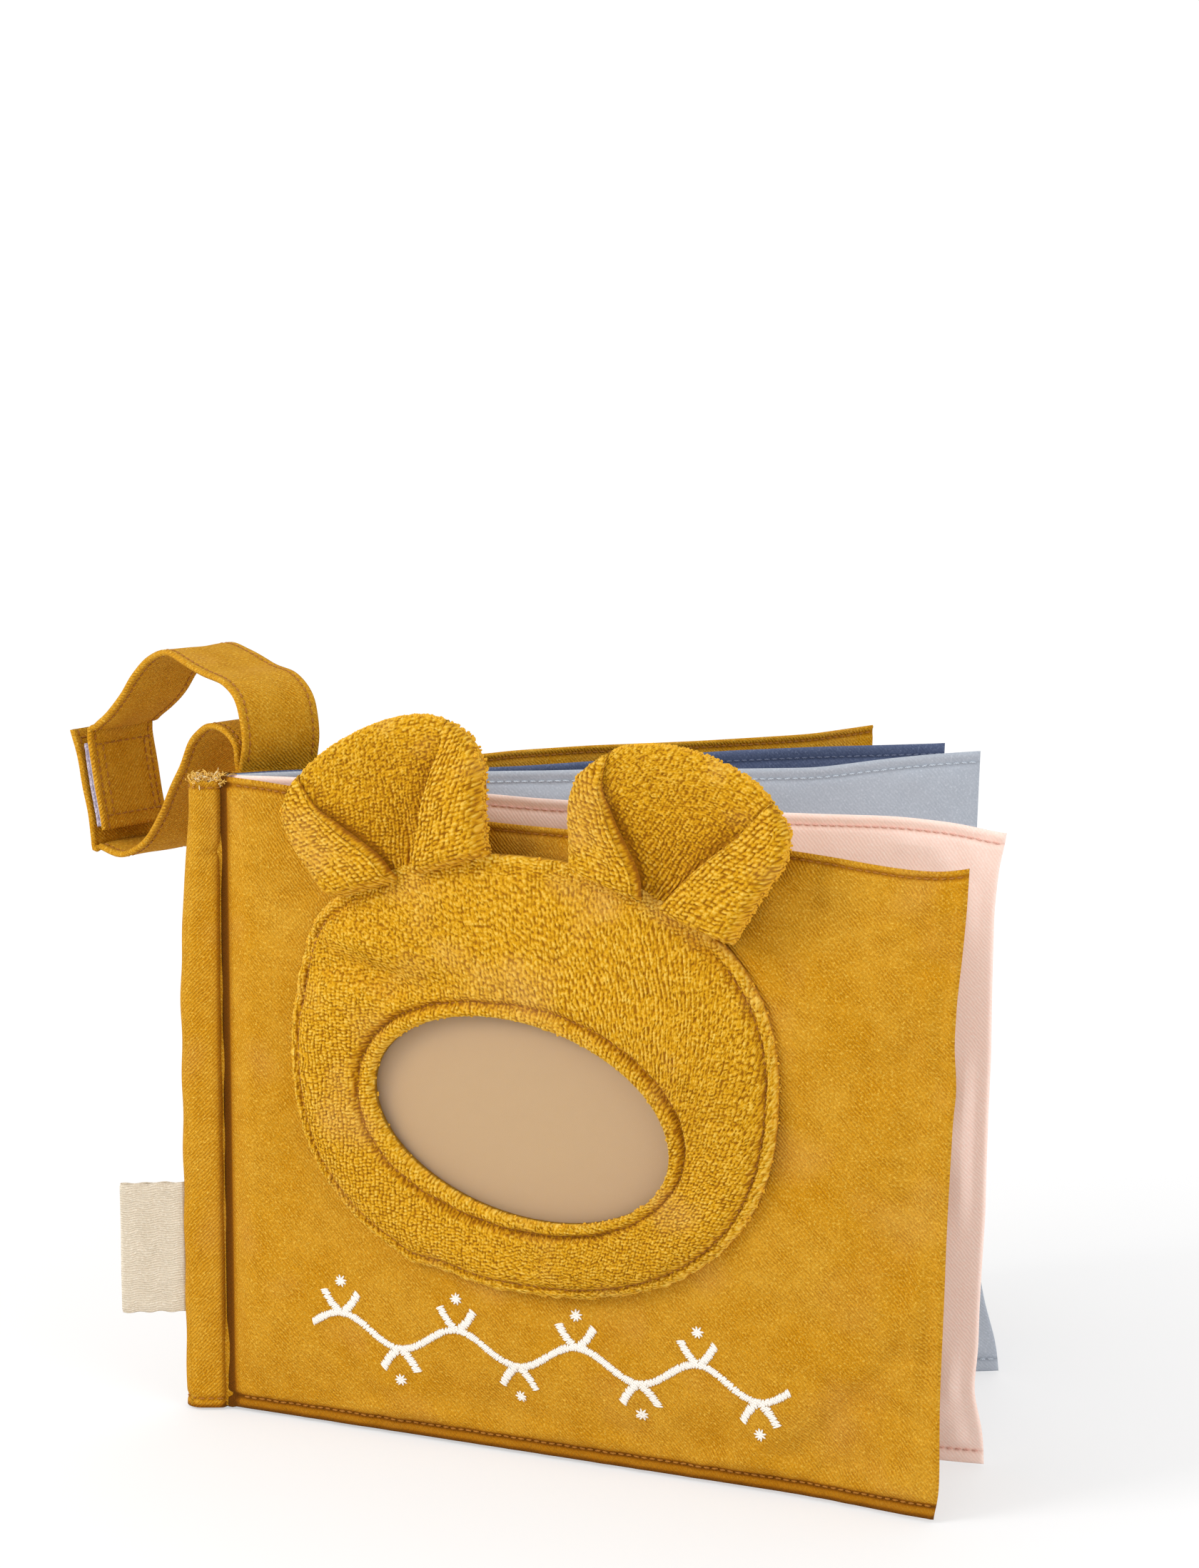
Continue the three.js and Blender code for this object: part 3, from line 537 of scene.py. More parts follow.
spine_stitching = []
stitch_rise, cross_reach = lines(0.002, spine_top - 0.001, 0.001), np.linspace(0.03, 0.97, 90)
for valley in (0.045, 0.955):
    spine_stitching += stitch_places(*spine_path(np.full_like(stitch_rise, valley), stitch_rise),
                                     size=(0.0015, thread_width, 0.00028), lift=-0.00002)
for row, _ in spine_cross_rows:
    spine_stitching += stitch_places(*spine_path(cross_reach, np.full_like(cross_reach, row)), pitch=0.0022)
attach(gathered("spine_stitching", spine_stitching, threads["ochre"]), "spine")

# Cut thread ends stand out of the margins at the spine's head, ochre and undyed
end_radius, end_curl = 0.00014, 0.42
draw = np.random.default_rng(31)
for name, colour, slot_name, count in (("ochre_thread_ends", "ochre_fuzz", "ochre_cotton", 260),
                                       ("undyed_thread_ends", "cream_fuzz", "lining_cotton", 110)):
    paths = []
    for _ in range(count):
        root = Vector((draw.uniform(-0.0019, 0.0068), draw.uniform(-0.0033, 0.0031),
                       spine_top + draw.uniform(-0.0018, -0.0004)))
        lean = Vector((draw.normal(0, 0.8), draw.normal(0, 0.8), draw.uniform(0.3, 1))).normalized()
        curl = Vector((draw.normal(0, 1), draw.normal(0, 1), draw.normal(0, 0.4))).normalized()
        length = draw.uniform(0.0012, 0.0032)
        paths.append([root + lean * length * share + curl * length * end_curl * math.sin(3.1 * share)
                      for share in np.linspace(0, 1, 7)])
    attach(dressed(strands(name, paths, end_radius), threads[colour]), "spine")


# The photo leaves. Each is two cottons sewn edge to edge over thin wadding, turned right side out
# and topstitched round, then sewn into the margins. The cloth puffs between the rows.
leaf_width = 0.194
leaf_hinge_x = 0.009
cover_hinge_x = 0.0074
leaf_kinds = {
    # hinge, degrees, corner flare, the fold's half thickness, and how the cloth draws its fore-edge
    # in or out by height and its head up or down by reach (all in mm, place first)
    "pink_leaf": dict(hinge=(leaf_hinge_x, -0.0015), angle=-13.2, flare=0.003, roll=0.0006,
                      fore=[(0, -4.4), (8, -4.3), (18, -6), (29, -4.1), (50, -2.7), (63, -1.8), (103, -1.1), (140, -2),
                            (151, -1.5), (160, 0)],
                      head=[(0, 0), (30, 1.8), (66, 3), (88, 2.7), (115, 2), (142, 1.8), (167, 1.8), (182, 0.5),
                            (194, -2)]),
    "pale_blue_leaf": dict(hinge=(leaf_hinge_x, 0.0), angle=9.1, flare=0.0045, roll=0.0006,
                           fore=[(0, 0.6), (8, 0.3), (18, -1.2), (60, -2.4), (110, -3), (160, -3.4)],
                           head=[(0, 0), (30, 2), (70, 3.8), (95, 3.8), (125, 2.8), (150, 2.1), (169, 3.6), (182, 4.2),
                                 (194, 4.4)]),
    "navy_leaf": dict(hinge=(leaf_hinge_x, 0.0015), angle=19.7, flare=0.002, roll=0.0006,
                      fore=[(0, 0), (160, -1)],
                      head=[(0, 0), (30, 1.2), (73, 2.2), (131, 2.6), (157, 1.7), (194, -0.3)]),
    "front_cover": dict(hinge=(cover_hinge_x, -0.0034), angle=-25.5, flare=0.003, roll=0.001,
                        fore=[(0, -4), (4, -2.6), (8, -2), (14, -1.7), (26, -1.2), (43, -0.1), (56, 0.6), (69, 1.1),
                              (85, 1.8), (99, 2.3), (104, 2.9), (109, 2.6), (115, 1.9), (127, 2.1), (137, 2.8),
                              (149, 3.3), (160, 3.4)],
                        head=[(0, 0), (60, -0.1), (110, 0.1), (150, -0.3), (162, -1.3), (172, -2.4), (180, -2.9),
                              (187, -2.9), (192, -2.1), (196, -0.6)]),
    "back_cover": dict(hinge=(cover_hinge_x, 0.0034), angle=31.4, flare=0.002, roll=0.001,
                       fore=[(0, -1), (60, 1), (110, 0.4), (160, 1)],
                       head=[(0, 0), (30, 1.6), (81, 2.8), (105, 1.9), (137, -0.3), (174, -2.5), (194, -2.3)]),
}
edge_fall, fore_draw, top_draw, fore_shift_from, head_shift_from = 0.02, 0.0022, 0.0012, 0.1, 0.118
corner_flare_length, spine_rise_reach, root_length = 0.04, 0.08, 0.0026
hem_row, head_row = 0.0034, 0.0027
window_inset, window_fore = 0.028, leaf_width - 0.018
window_foot, window_head = 0.030, leaf_height - 0.030
leaf_seat, leaf_full, leaf_ramp = 0.00072, 0.0016, (window_inset, 0.037)
# row_shade is the strength of the painted shade along the topstitched rows
row_depth, row_width, row_shade, cloth_unevenness = 0.0007, 0.0008, 1.25, 0.00028
ruffle_width, ruffle_scale, looseness_scale = 0.006, 0.011, 0.055
fold_round, thinnest, skin_lift = 0.0008, 0.0003, 0.00004


def turned_by(angle, across, up):
    """Places turned about the origin."""
    return across * math.cos(angle) - up * math.sin(angle), across * math.sin(angle) + up * math.cos(angle)


def turned_point(leaf, x, y, z):
    """A point in a leaf's own frame, hinge at 0, brought to its place in the fan."""
    across, along = turned_by(math.radians(leaf["angle"]), x, y)
    return np.stack([leaf["hinge"][0] + across, leaf["hinge"][1] + along, z + 0 * x], axis=-1)


def soft_table(table, reach, blur):
    """A table of places and shifts in mm as a smooth function in metres."""
    places, shifts = np.array(table).T / 1000
    fine = np.linspace(-0.01, reach + 0.01, 420)
    kernel = np.exp(-(np.arange(-30, 31) * (fine[1] - fine[0]) / blur) ** 2)
    rough = np.pad(np.interp(fine, places, shifts), 30, mode="edge")
    return fine, np.convolve(rough, kernel / kernel.sum(), mode="valid")


for leaf_name, leaf in leaf_kinds.items():
    leaf["name"], leaf["rows"] = leaf_name, (hem_row, head_row)
    leaf["fore"] = soft_table(leaf["fore"], leaf_height, 0.003)
    leaf["head"] = soft_table(leaf["head"], leaf_width, 0.005)


def on_leaf(leaf, across, up, height):
    """Where a place on the cut leaf lies, `height` in front of its middle plane."""
    share_across = np.maximum(across, 0) / leaf_width
    share_up = up / leaf_height
    low = eased(1 - up / corner_flare_length)
    fore = fore_draw * np.sin(math.pi * share_up) - leaf["flare"] * low / 2
    lifted = spine_rise * (1 - eased(across, 0, spine_rise_reach)) - top_draw * np.sin(math.pi * share_across)
    curl = leaf["flare"] * low * eased(across, leaf_width - corner_flare_length, leaf_width)
    drawn = np.interp(up, *leaf["fore"]) * eased(across, fore_shift_from, leaf_width)
    raised = np.interp(across, *leaf["head"]) * eased(up, head_shift_from, leaf_height)
    return turned_point(leaf, across - fore * share_across ** 2 + drawn, -height - curl,
                        up + lifted * share_up ** 2 + raised)


def crown_share(across, up):
    return eased(leaf_width - across, 0, edge_fall) * eased(up, 0, edge_fall) * eased(leaf_height - up, 0, edge_fall)


pad_cells, pad_half, cloth_steps = (60, 50), 0.001, 20


def puffed_pad(pressure, growth):
    """How far each side of a sewn flat pad swells, 0 to 1 over an even grid, from a cloth run."""
    columns, rows = pad_cells
    pad = flat_grid("pad", columns, rows, size=1)
    pad.scale = (leaf_width, leaf_height, 1)
    bpy.ops.object.transform_apply(location=False, rotation=False, scale=True)
    thickened(pad, 2 * pad_half)
    flat = np.array([vertex.co for vertex in pad.data.vertices])
    sewn = (np.abs(flat[:, 0]) > leaf_width / 2 - hem_row) | (np.abs(flat[:, 1]) > leaf_height / 2 - hem_row)
    pad.vertex_groups.new(name="sewn").add(np.nonzero(sewn)[0].tolist(), 1.0, "REPLACE")
    run = pad.modifiers.new("swelling", "CLOTH")
    for key, value in dict(quality=5, mass=0.05, use_pressure=True, uniform_pressure_force=pressure,
                           vertex_group_mass="sewn", shrink_min=-growth, bending_stiffness=0.05).items():
        setattr(run.settings, key, value)
    run.settings.effector_weights.gravity = 0
    run.collision_settings.use_collision = False
    for step in range(1, cloth_steps + 1):
        bpy.context.scene.frame_set(step)
    bpy.ops.object.modifier_apply(modifier=run.name)
    column = np.rint((flat[:, 0] / leaf_width + 0.5) * columns).astype(int)
    row = np.rint((flat[:, 1] / leaf_height + 0.5) * rows).astype(int)
    swollen = np.zeros((2, rows + 1, columns + 1))
    heights = np.array([vertex.co.z for vertex in pad.data.vertices])
    for layer, side in enumerate((1, -1)):
        kept = flat[:, 2] * side > 0
        swollen[layer, row[kept], column[kept]] = np.maximum(heights[kept] * side - pad_half, 0)
    bpy.data.objects.remove(pad)
    bpy.context.scene.frame_set(1)
    capped = np.tanh(swollen / (0.34 * np.percentile(swollen, 90)))
    return capped / capped.max()


def curved_between(field, columns, rows):
    """Reads an even grid at fractions of its size, along smooth curves through its values."""
    def weights(at, count):
        spot = np.clip(at, 0, 1) * (count - 1)
        low = np.clip(np.floor(spot).astype(int), 0, count - 2)
        t = spot - low
        found = [(-t + 2 * t ** 2 - t ** 3) / 2, (2 - 5 * t ** 2 + 3 * t ** 3) / 2,
                 (t + 4 * t ** 2 - 3 * t ** 3) / 2, (-t ** 2 + t ** 3) / 2]
        return [(np.clip(low + offset - 1, 0, count - 1), weight) for offset, weight in enumerate(found)]
    total = 0
    for row, row_weight in weights(rows, field.shape[0]):
        for column, column_weight in weights(columns, field.shape[1]):
            total = total + field[row, column] * row_weight * column_weight
    return total


def domed(share):
    """Rises from 0 to 1 along a quarter circle."""
    share = np.clip(share, 0, 1)
    return np.sqrt(share * (2 - share))


def hem_distance(across, up):
    return np.minimum(np.minimum(leaf_width - across, up), leaf_height - up)


def hem_closeness(leaf, across, up, width):
    """1 on the topstitched rows along a leaf's foot and head."""
    foot, head = leaf["rows"]
    return bell(up, foot, width) + bell(leaf_height - up, head, width) + 0 * across


def stroke_dip(across, up, start, end, depth, width):
    """A soft valley along a line from start to end."""
    line = np.array(end) - np.array(start)
    share = ((across - start[0]) * line[0] + (up - start[1]) * line[1]) / (line @ line)
    held = np.clip(share, 0, 1)
    away = np.hypot(across - start[0] - held * line[0], up - start[1] - held * line[1])
    return depth * bell(away, 0, width)


def cloth_face(leaf, pad, crown, seat, ramp, seed, ruffle=0.00016, creases=()):
    """The height of one face of a leaf over its middle plane, as a function of place."""
    roll = leaf["roll"]
    start, length = ramp
    slim = 0.62 if roll < 0.0009 else 0.85

    def face(across, up):
        full = seat + (crown - seat) * eased(across, start, start + length)
        puff = np.clip(curved_between(pad, across / leaf_width, up / leaf_height), 0, 1.1)
        kept = np.where(across < 0.5 * leaf_width, crown_share(across, up), puff)
        kept = kept + (puff - kept) * eased(across, 0.01, 0.05)
        height = roll + (full - roll) * kept - row_depth * hem_closeness(leaf, across, up, row_width)
        near = bell(np.minimum(up, leaf_height - up), hem_row, ruffle_width)
        height = height + ruffle * near * rolling(across, up, seed, ruffle_scale)
        looseness = cloth_unevenness * np.clip((full - roll) / 0.001, 0, 1.9) * kept
        height = height + looseness * rolling(across, up, seed + 1, looseness_scale)
        for crease in creases:
            height = height - stroke_dip(across, up, *crease)
        rim = np.where(across < -roll, 1.0, domed(hem_distance(across, up) / fold_round))
        height = np.where(across < 0.0, np.minimum(height, roll * slim), height)
        return np.maximum(height, thinnest) * rim + skin_lift
    return face


def leaf_lines(step):
    """Where the cloth's mesh is cut: fine along the sewn edges, even between them."""
    fine = np.array([0, 0.0003, 0.0008, 0.0014, 0.002, 0.0026, 0.003, 0.0034, 0.0038, 0.0043, 0.005, 0.006])
    across = np.concatenate([lines(-root_length, 0, 0.0007)[:-1], lines(0, leaf_width - 0.0065, step),
                             leaf_width - fine])
    up = np.concatenate([fine, lines(0.0065, leaf_height - 0.0065, step), leaf_height - fine])
    return np.unique(across.round(6)), np.unique(up.round(6))


def sewn_leaf(name, leaf, front_face, back_face, step):
    across, up = np.meshgrid(*leaf_lines(step))
    front = on_leaf(leaf, across, up, front_face(across, up))
    back = on_leaf(leaf, across, up, -back_face(across, up))
    hem = leaf["rows"][0]
    # Painted shade: a dark band and contact line along the covers' foot, the topstitched rows, and the valley at the
    # leaf's root
    foot = (1 - eased(up, hem - 0.0008, hem + 0.002)) + 1.2 * (1 - eased(up, 0.0005, 0.0018))
    shade = row_shade * hem_closeness(leaf, across, up, 0.0006) + seam_dark * eased(0.0008 - across, 0, 0.0018)
    shade = np.clip(shade + leaf.get("foot_shade", 0) * foot, 0, seam_dark)
    return closed_sheet(name, front, back, across, up, seam=(shade, shade))


def leaf_path(leaf, face, side, across, up):
    """A path over one face of a leaf, front (1) or back (-1), with the cloth's normals."""
    across, up = np.broadcast_arrays(across, up)

    def at(a, u):
        return on_leaf(leaf, a, u, side * face(a, u))
    points = at(across, up)
    return points, unit(np.cross(at(across + 0.0003, up) - points, at(across, up + 0.0003) - points) * side)


def hem_rows(leaf, face, side, seed):
    """Topstitching along a leaf's foot and head."""
    along = lines(0.002, leaf_width - 0.001, 0.0015)
    foot, head = leaf["rows"]
    return (stitch_places(*leaf_path(leaf, face, side, along, foot), seed=seed)
            + stitch_places(*leaf_path(leaf, face, side, along, leaf_height - head), seed=seed + 1))


def made_up(name, leaf, colour, outer, inner, side, seed, step, fill, bend, *cloths):
    """One leaf made up from its two faces, with its topstitching."""
    front, back = (outer, inner) if side > 0 else (inner, outer)
    made = dressed(sewn_leaf(name, leaf, front, back, step), cottons[colour])
    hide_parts(*[f"{name}_{cloth}" for cloth in cloths])
    rows = hem_rows(leaf, outer, side, seed) + hem_rows(leaf, inner, -side, seed + 3)
    stitching = gathered(f"{name}_stitching", rows, threads[colour])
    for piece in (made, stitching):
        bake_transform(piece)


# The photo windows. Each is clear film, sewn down on three sides under edges of the leaf's own
# cotton, with a bound edge across its open head. All are thin, so that the album can close.
film_lift, film_thickness = 0.00012, 0.00012
strip_gap, strip_base, strip_pillow, strip_face_lift = 0.00003, 0.00006, 0.0002, 0.00022
window_stitch = dict(size=(0.0018, thread_width, 0.0003), pitch=0.0028, lift=0.0)
binding_width, window_overlap, corner_gap = 0.0075, 0.003, 0.0003
window_step, binding_step, binding_rows = 0.004, 0.00085, (0.18, 0.82)
clear_film, tree = new_material("clear_film")
ripple = grained(tree, node(tree, "TexCoord").outputs["Object"], 30.0, 2.0, 0.4)
film_bump = node(tree, "Bump", {"Strength": 0.25, "Distance": 0.0012, "Height": ripple})
skinned(tree, {"Base Color": (0.93, 0.94, 0.95, 1), "Roughness": spread(tree, ripple, 0.3, 0.7, 0.12, 0.24),
               "Alpha": 0.06, "IOR": 1.5, "Normal": film_bump.outputs[0]})


def on_side(side, surfaces):
    return surfaces if side > 0 else surfaces[::-1]


def photo_window(name, leaf, face, side, colour):
    """A clear pocket for one print: film sewn down on three sides under a cotton edge, and a
    bound edge across its open head."""
    across, up = np.meshgrid(lines(window_inset, window_fore, window_step),
                             lines(window_foot, window_head, window_step))
    heights = face(across, up) + film_lift
    surfaces = [on_leaf(leaf, across, up, side * (heights + extra)) for extra in (film_thickness, 0)]
    film = dressed(closed_sheet(f"{name}_film", *on_side(side, surfaces), across, up), clear_film)
    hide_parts(f"{name}_window")
    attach(film, leaf["name"])
    stitches, edges = [], []
    left, right = window_inset - window_overlap, window_fore + window_overlap
    foot, head = window_foot - window_overlap, window_head + window_overlap
    low, high = foot + binding_width + corner_gap, head - binding_width - corner_gap
    bars = [(left, right, foot, foot + binding_width), (left, right, head - binding_width, head),
            (left, left + binding_width, low, high), (right - binding_width, right, low, high)]

    def strip_face(a, u):
        return face(a, u) + film_lift + film_thickness + strip_face_lift
    for index, (left, right, foot, head) in enumerate(bars):
        level = right - left > head - foot
        across, up = np.meshgrid(lines(left, right, window_step if level else binding_step),
                                 lines(foot, head, binding_step if level else window_step))
        narrow = (up - foot) / (head - foot) if level else (across - left) / (right - left)
        pillow = strip_pillow * np.sqrt(np.clip(1 - (2 * narrow - 1) ** 4, 0, 1))
        under = face(across, up) + film_lift + film_thickness + strip_gap
        surfaces = [on_leaf(leaf, across, up, side * height) for height in (under + strip_base + pillow, under)]
        strip = closed_sheet(f"{name}_edge_{index + 1}", *on_side(side, surfaces), across, up)
        dressed(strip, cottons[colour])
        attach(strip, leaf["name"])
        edges.append(strip)
        for share in binding_rows:
            if level:
                row = np.linspace(left + 0.001, right - 0.001, 40), np.full(40, foot + share * (head - foot))
            else:
                row = np.full(40, left + share * (right - left)), np.linspace(foot + 0.001, head - 0.001, 40)
            stitches += stitch_places(*leaf_path(leaf, strip_face, side, *row), seed=index + 5, **window_stitch)
    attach(gathered(f"{name}_stitching", stitches, threads[colour]), leaf["name"])


leaf_looks = [
    # body, colour, seed, pressure, growth
    ("pink_leaf", "pink", 11, 1.2, 0.03),
    ("pale_blue_leaf", "pale_blue", 12, 1.0, 0.035),
    ("navy_leaf", "navy", 13, 0.8, 0.03),
]
for name, colour, seed, pressure, growth in leaf_looks:
    leaf = leaf_kinds[name]
    front_face, back_face = [cloth_face(leaf, pad, leaf_full, leaf_seat, leaf_ramp, seed + layer * 20)
                             for layer, pad in enumerate(puffed_pad(pressure, growth))]
    made_up(name, leaf, colour, front_face, back_face, 1, seed, 0.0019, 0.25, 0.0045,
            "front_cloth", "back_cloth", "wadding")
    for side, face, label in ((1, front_face, "front"), (-1, back_face, "back")):
        photo_window(f"{name}_{label}", leaf, face, side, colour)


# The covers. Ochre twill over thicker wadding, sewn to a lining of the same cloth, turned and
# topstitched along head and foot. Their fore-edges are plain turned folds.
cover_crown, cover_ramp = 0.0045, (-0.001, 0.0085)
cover_inner_seat, cover_inner_crown = 0.0011, 0.0022
# cover_foot_shade sets the painted shade along the covers' foot
cover_head_row, cover_foot_shade = 0.0017, 0.85
cover_creases = [
    # start, end, depth, width: where the cloth pulls along the fore-edge and the lower corner
    ((0.15, 0.048), (0.19, 0.037), 0.0007, 0.0035), ((0.158, 0.031), (0.189, 0.022), 0.0008, 0.003),
    ((0.172, 0.017), (0.187, 0.0095), 0.0006, 0.0024), ((0.165, 0.008), (0.176, 0.013), 0.0005, 0.002),
    ((0.176, 0.079), (0.192, 0.073), 0.0007, 0.0035), ((0.181, 0.112), (0.193, 0.105), 0.0006, 0.0035),
    ((0.171, 0.139), (0.191, 0.134), 0.0006, 0.003), ((0.148, 0.154), (0.156, 0.147), 0.0005, 0.0028),
    ((0.02, 0.151), (0.03, 0.145), 0.0005, 0.003)]
cover_looks = [
    # body, seed, its outer side, pressure, growth
    ("front_cover", 21, 1, 2.6, 0.02), ("back_cover", 22, -1, 2.2, 0.025)]
cover_faces = {}
for name, seed, side, pressure, growth in cover_looks:
    leaf = leaf_kinds[name]
    leaf["rows"], leaf["foot_shade"] = (hem_row, cover_head_row), cover_foot_shade
    outer_pad, inner_pad = puffed_pad(pressure, growth)
    outer = cloth_face(leaf, outer_pad, cover_crown, leaf["roll"], cover_ramp, seed, 0.0003, cover_creases)
    inner = cloth_face(leaf, inner_pad, cover_inner_crown, cover_inner_seat, leaf_ramp, seed + 20)
    cover_faces[name] = outer
    made_up(name, leaf, "ochre", outer, inner, side, seed, 0.0013, 0.5, 0.005, "outer_cloth", "wadding", "lining")
    photo_window(f"{name}_inner", leaf, inner, -side, "ochre")


# The photo card, plain and tan, slides in behind the bear's head. The clear pane in front of it
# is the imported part's own, in clear film.
front = leaf_kinds["front_cover"]
head_centre = np.array([0.086, 0.098])
window_centre = np.array([0.0848, 0.0874])
window_half = np.array([0.0405, 0.0243])
window_tilt = math.radians(-10)
card_tan, tree = new_material("card_tan")
place = node(tree, "TexCoord").outputs["Object"]
card_middle = tuple(turned_point(front, window_centre[0] - 0.006, -0.005, window_centre[1]))
from_middle = vector_maths(tree, "SUBTRACT", place, card_middle)[0]
away = vector_maths(tree, "LENGTH", vector_maths(tree, "MULTIPLY", from_middle, (22.0, 22.0, 36.0))[0])["Value"]
paper = grained(tree, place, 900.0, 2.0, 0.6)
# The card is painted a little darker towards the window's edges, as painted shade under the rim
tan = blended(tree, spread(tree, away, 0.45, 1.05), (0.43, 0.243, 0.064, 1), (0.42, 0.23, 0.062, 1))
flecked = blended(tree, spread(tree, paper, 0.35, 0.65, 0.0, 0.02), tan, (0.45, 0.3, 0.17, 1))
skinned(tree, {"Base Color": flecked, "Roughness": spread(tree, paper, 0.3, 0.7, 0.55, 0.7)})
for node_name, finish in (("photo_card", card_tan), ("bear_head_window", clear_film)):
    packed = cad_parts[node_name]
    packed.data.materials.clear()
    packed.data.materials.append(finish)


# The bear's head, a pocket of ochre terry cloth lined in undyed cotton. It is sewn down round its
# sides and foot, open along its head, and its window edge is turned in under a row of stitches.
head_half = np.array([0.0655, 0.055])
head_roundness = 2.3
head_crown, head_rim, head_window_edge = 0.0116, 0.0104, 0.0084
lip_round, crown_run, rim_groove, rim_groove_wave, rim_groove_width = 0.0016, 0.011, 0.0019, 0.0006, 0.001
fall_share, fall_power, under_from, under_run, head_unevenness, edge_fray = 0.42, 2.3, 0.0015, 0.003, 0.0003, 0.0004
seam_dip, seam_width, puff_rise, puff_place, puff_width = 0.001, 0.0008, 0.0005, 0.0013, 0.0009
head_hem, head_mouth, head_back, head_seat, terry_thickness = 0.0063, 0.0102, 0.0072, 0.0048, 0.0008
head_bumps = [
    # degrees, growth, width: the outline isn't quite even
    (146, 0.0026, 13), (252, -0.0006, 8), (244, 0.0007, 4), (15, 0.0008, 16)]
head_turns, head_rings = 960, 84
lip_rings, lip_width, hem_rings, hem_width = 17, 0.007, 17, 0.0045
wale_pitch, loop_pitch, pile_rise = 0.00106, 0.00086, 0.0005
rim_row, edge_row = 0.0045, 0.0031
# The terry's tones: painted shade between the loops, the mid tone, and painted highlight on their tops
terry_colours = ((0.37, 0.14, 0.0015), (0.73, 0.365, 0.006), (0.97, 0.66, 0.12))
edge_pale, lip_pale, row_pale = 0.26, 0.16, 0.22
back_pile, loop_pile, loop_size = 0.4, 0.72, (0.00095, 0.0007, 0.0007)

terry, tree = new_material("ochre_terry")
place = node(tree, "TexCoord").outputs["UV"]
stand = node(tree, "Attribute", attribute_name="pile").outputs["Fac"]
fibre = grained(tree, place, 2400.0, 3.0, 0.75)
tuft = node(tree, "TexVoronoi", {"Vector": place, "Scale": 1300.0, "Randomness": 0.9}).outputs["Distance"]
# loft, from the pile's stand, fibre and tufts, runs from the painted shade tone up to the painted highlight tone
loft = maths(tree, "ADD", maths(tree, "MULTIPLY", stand, 0.66),
             maths(tree, "ADD", maths(tree, "MULTIPLY", fibre, 0.5), maths(tree, "MULTIPLY", tuft, -0.5)))
tone = node(tree, "ValToRGB", {"Fac": loft})
low, high = tone.color_ramp.elements
low.position, high.position = 0.0, 0.85
tone.color_ramp.elements.new(0.36)
for element, colour in zip(tone.color_ramp.elements, terry_colours):
    element.color = (*colour, 1)
worn = spread(tree, grained(tree, place, 38.0, 2.0, 0.5), 0.55, 0.75, 0.0, 0.3)
bump = node(tree, "Bump", {"Strength": 0.9, "Distance": 0.0007, "Height": loft})
skinned(tree, {"Base Color": blended(tree, worn, tone.outputs["Color"], (0.8, 0.47, 0.16, 1)), "Roughness": 0.98,
               "Normal": bump.outputs[0], "Specular IOR Level": 0.15, "Sheen Weight": 0.12,
               "Sheen Roughness": 0.5, "Sheen Tint": (0.95, 0.65, 0.2, 1)})


def pile_loops(across, up, lean, seed):
    """Terry loops in knitted rows: how far each place stands up, 0 to 1."""
    shift = 0.35 * rolling(across, up, seed + 2, 0.012) + 0.2 * rolling(across, up, seed + 4, 0.0035)
    wale = (across * math.cos(lean) + up * math.sin(lean)) / wale_pitch + shift
    row = np.floor(wale)

    def mixed(first, second, salt):
        value = np.sin(first * 127.1 + second * 311.7 + (seed + salt) * 74.7) * 43758.5453
        return value - np.floor(value)
    loop = (-across * math.sin(lean) + up * math.cos(lean)) / loop_pitch + mixed(row, row * 0, 3)
    cell = np.floor(loop)
    beside = wale - row - 0.5 - 0.22 * (mixed(row, cell, 5) - 0.5)
    along = loop - cell - 0.5 - 0.3 * (mixed(row, cell, 7) - 0.5)
    gap = (np.abs(beside) ** 2.4 + np.abs(along) ** 2.4) ** (1 / 2.4) / 0.56
    return np.clip((1 - gap ** 2.6) * (0.72 + 0.36 * mixed(row, cell, 9)), 0, 1)


def loop_placing(foot, tip, draw):
    """One stray loop that stands on an edge, from its foot towards its tip."""
    out = unit(unit(tip - foot) + draw.normal(0, 0.5, 3))
    side = unit(np.cross(out, draw.normal(0, 1, 3)))
    length, width, height = np.array(loop_size) / 2 * draw.uniform(0.7, 1.15)
    return placing([out * length, side * width, np.cross(out, side) * height], foot + out * loop_size[0] * 0.08)


def angle_from(turn, middle):
    """How far a turn is from another, the short way round."""
    return np.angle(np.exp(1j * (turn - middle)))


def head_outline(turn, inset=0.0):
    for middle, grow, width in head_bumps:
        inset = inset - grow * bell(angle_from(turn, math.radians(middle)), 0, math.radians(width))
    waves = np.cos(turn), np.sin(turn)
    reach = [(half - inset) * np.sign(wave) * np.abs(wave) ** (2 / head_roundness)
             for half, wave in zip(head_half, waves)]
    return head_centre + np.stack(reach, axis=-1)


def window_outline(turn):
    across, up = window_half[0] * np.cos(turn), window_half[1] * np.sin(turn)
    return window_centre + np.stack(turned_by(window_tilt, across, up), axis=-1)


def head_reach(turn):
    """How wide the terry is, from the window to the outline."""
    return np.linalg.norm(head_outline(turn) - window_outline(turn), axis=-1)


def sewn_share(turn):
    return 1 - eased(np.sin(turn), 0.55, 0.9)


def rim_line(turn):
    """How far from the window its turned edge is stitched, which wanders a little."""
    return rim_row + 0.0005 * np.sin(2 * turn + 0.4) + 0.0003 * np.sin(5 * turn + 1) + 0.00012 * np.sin(23 * turn)


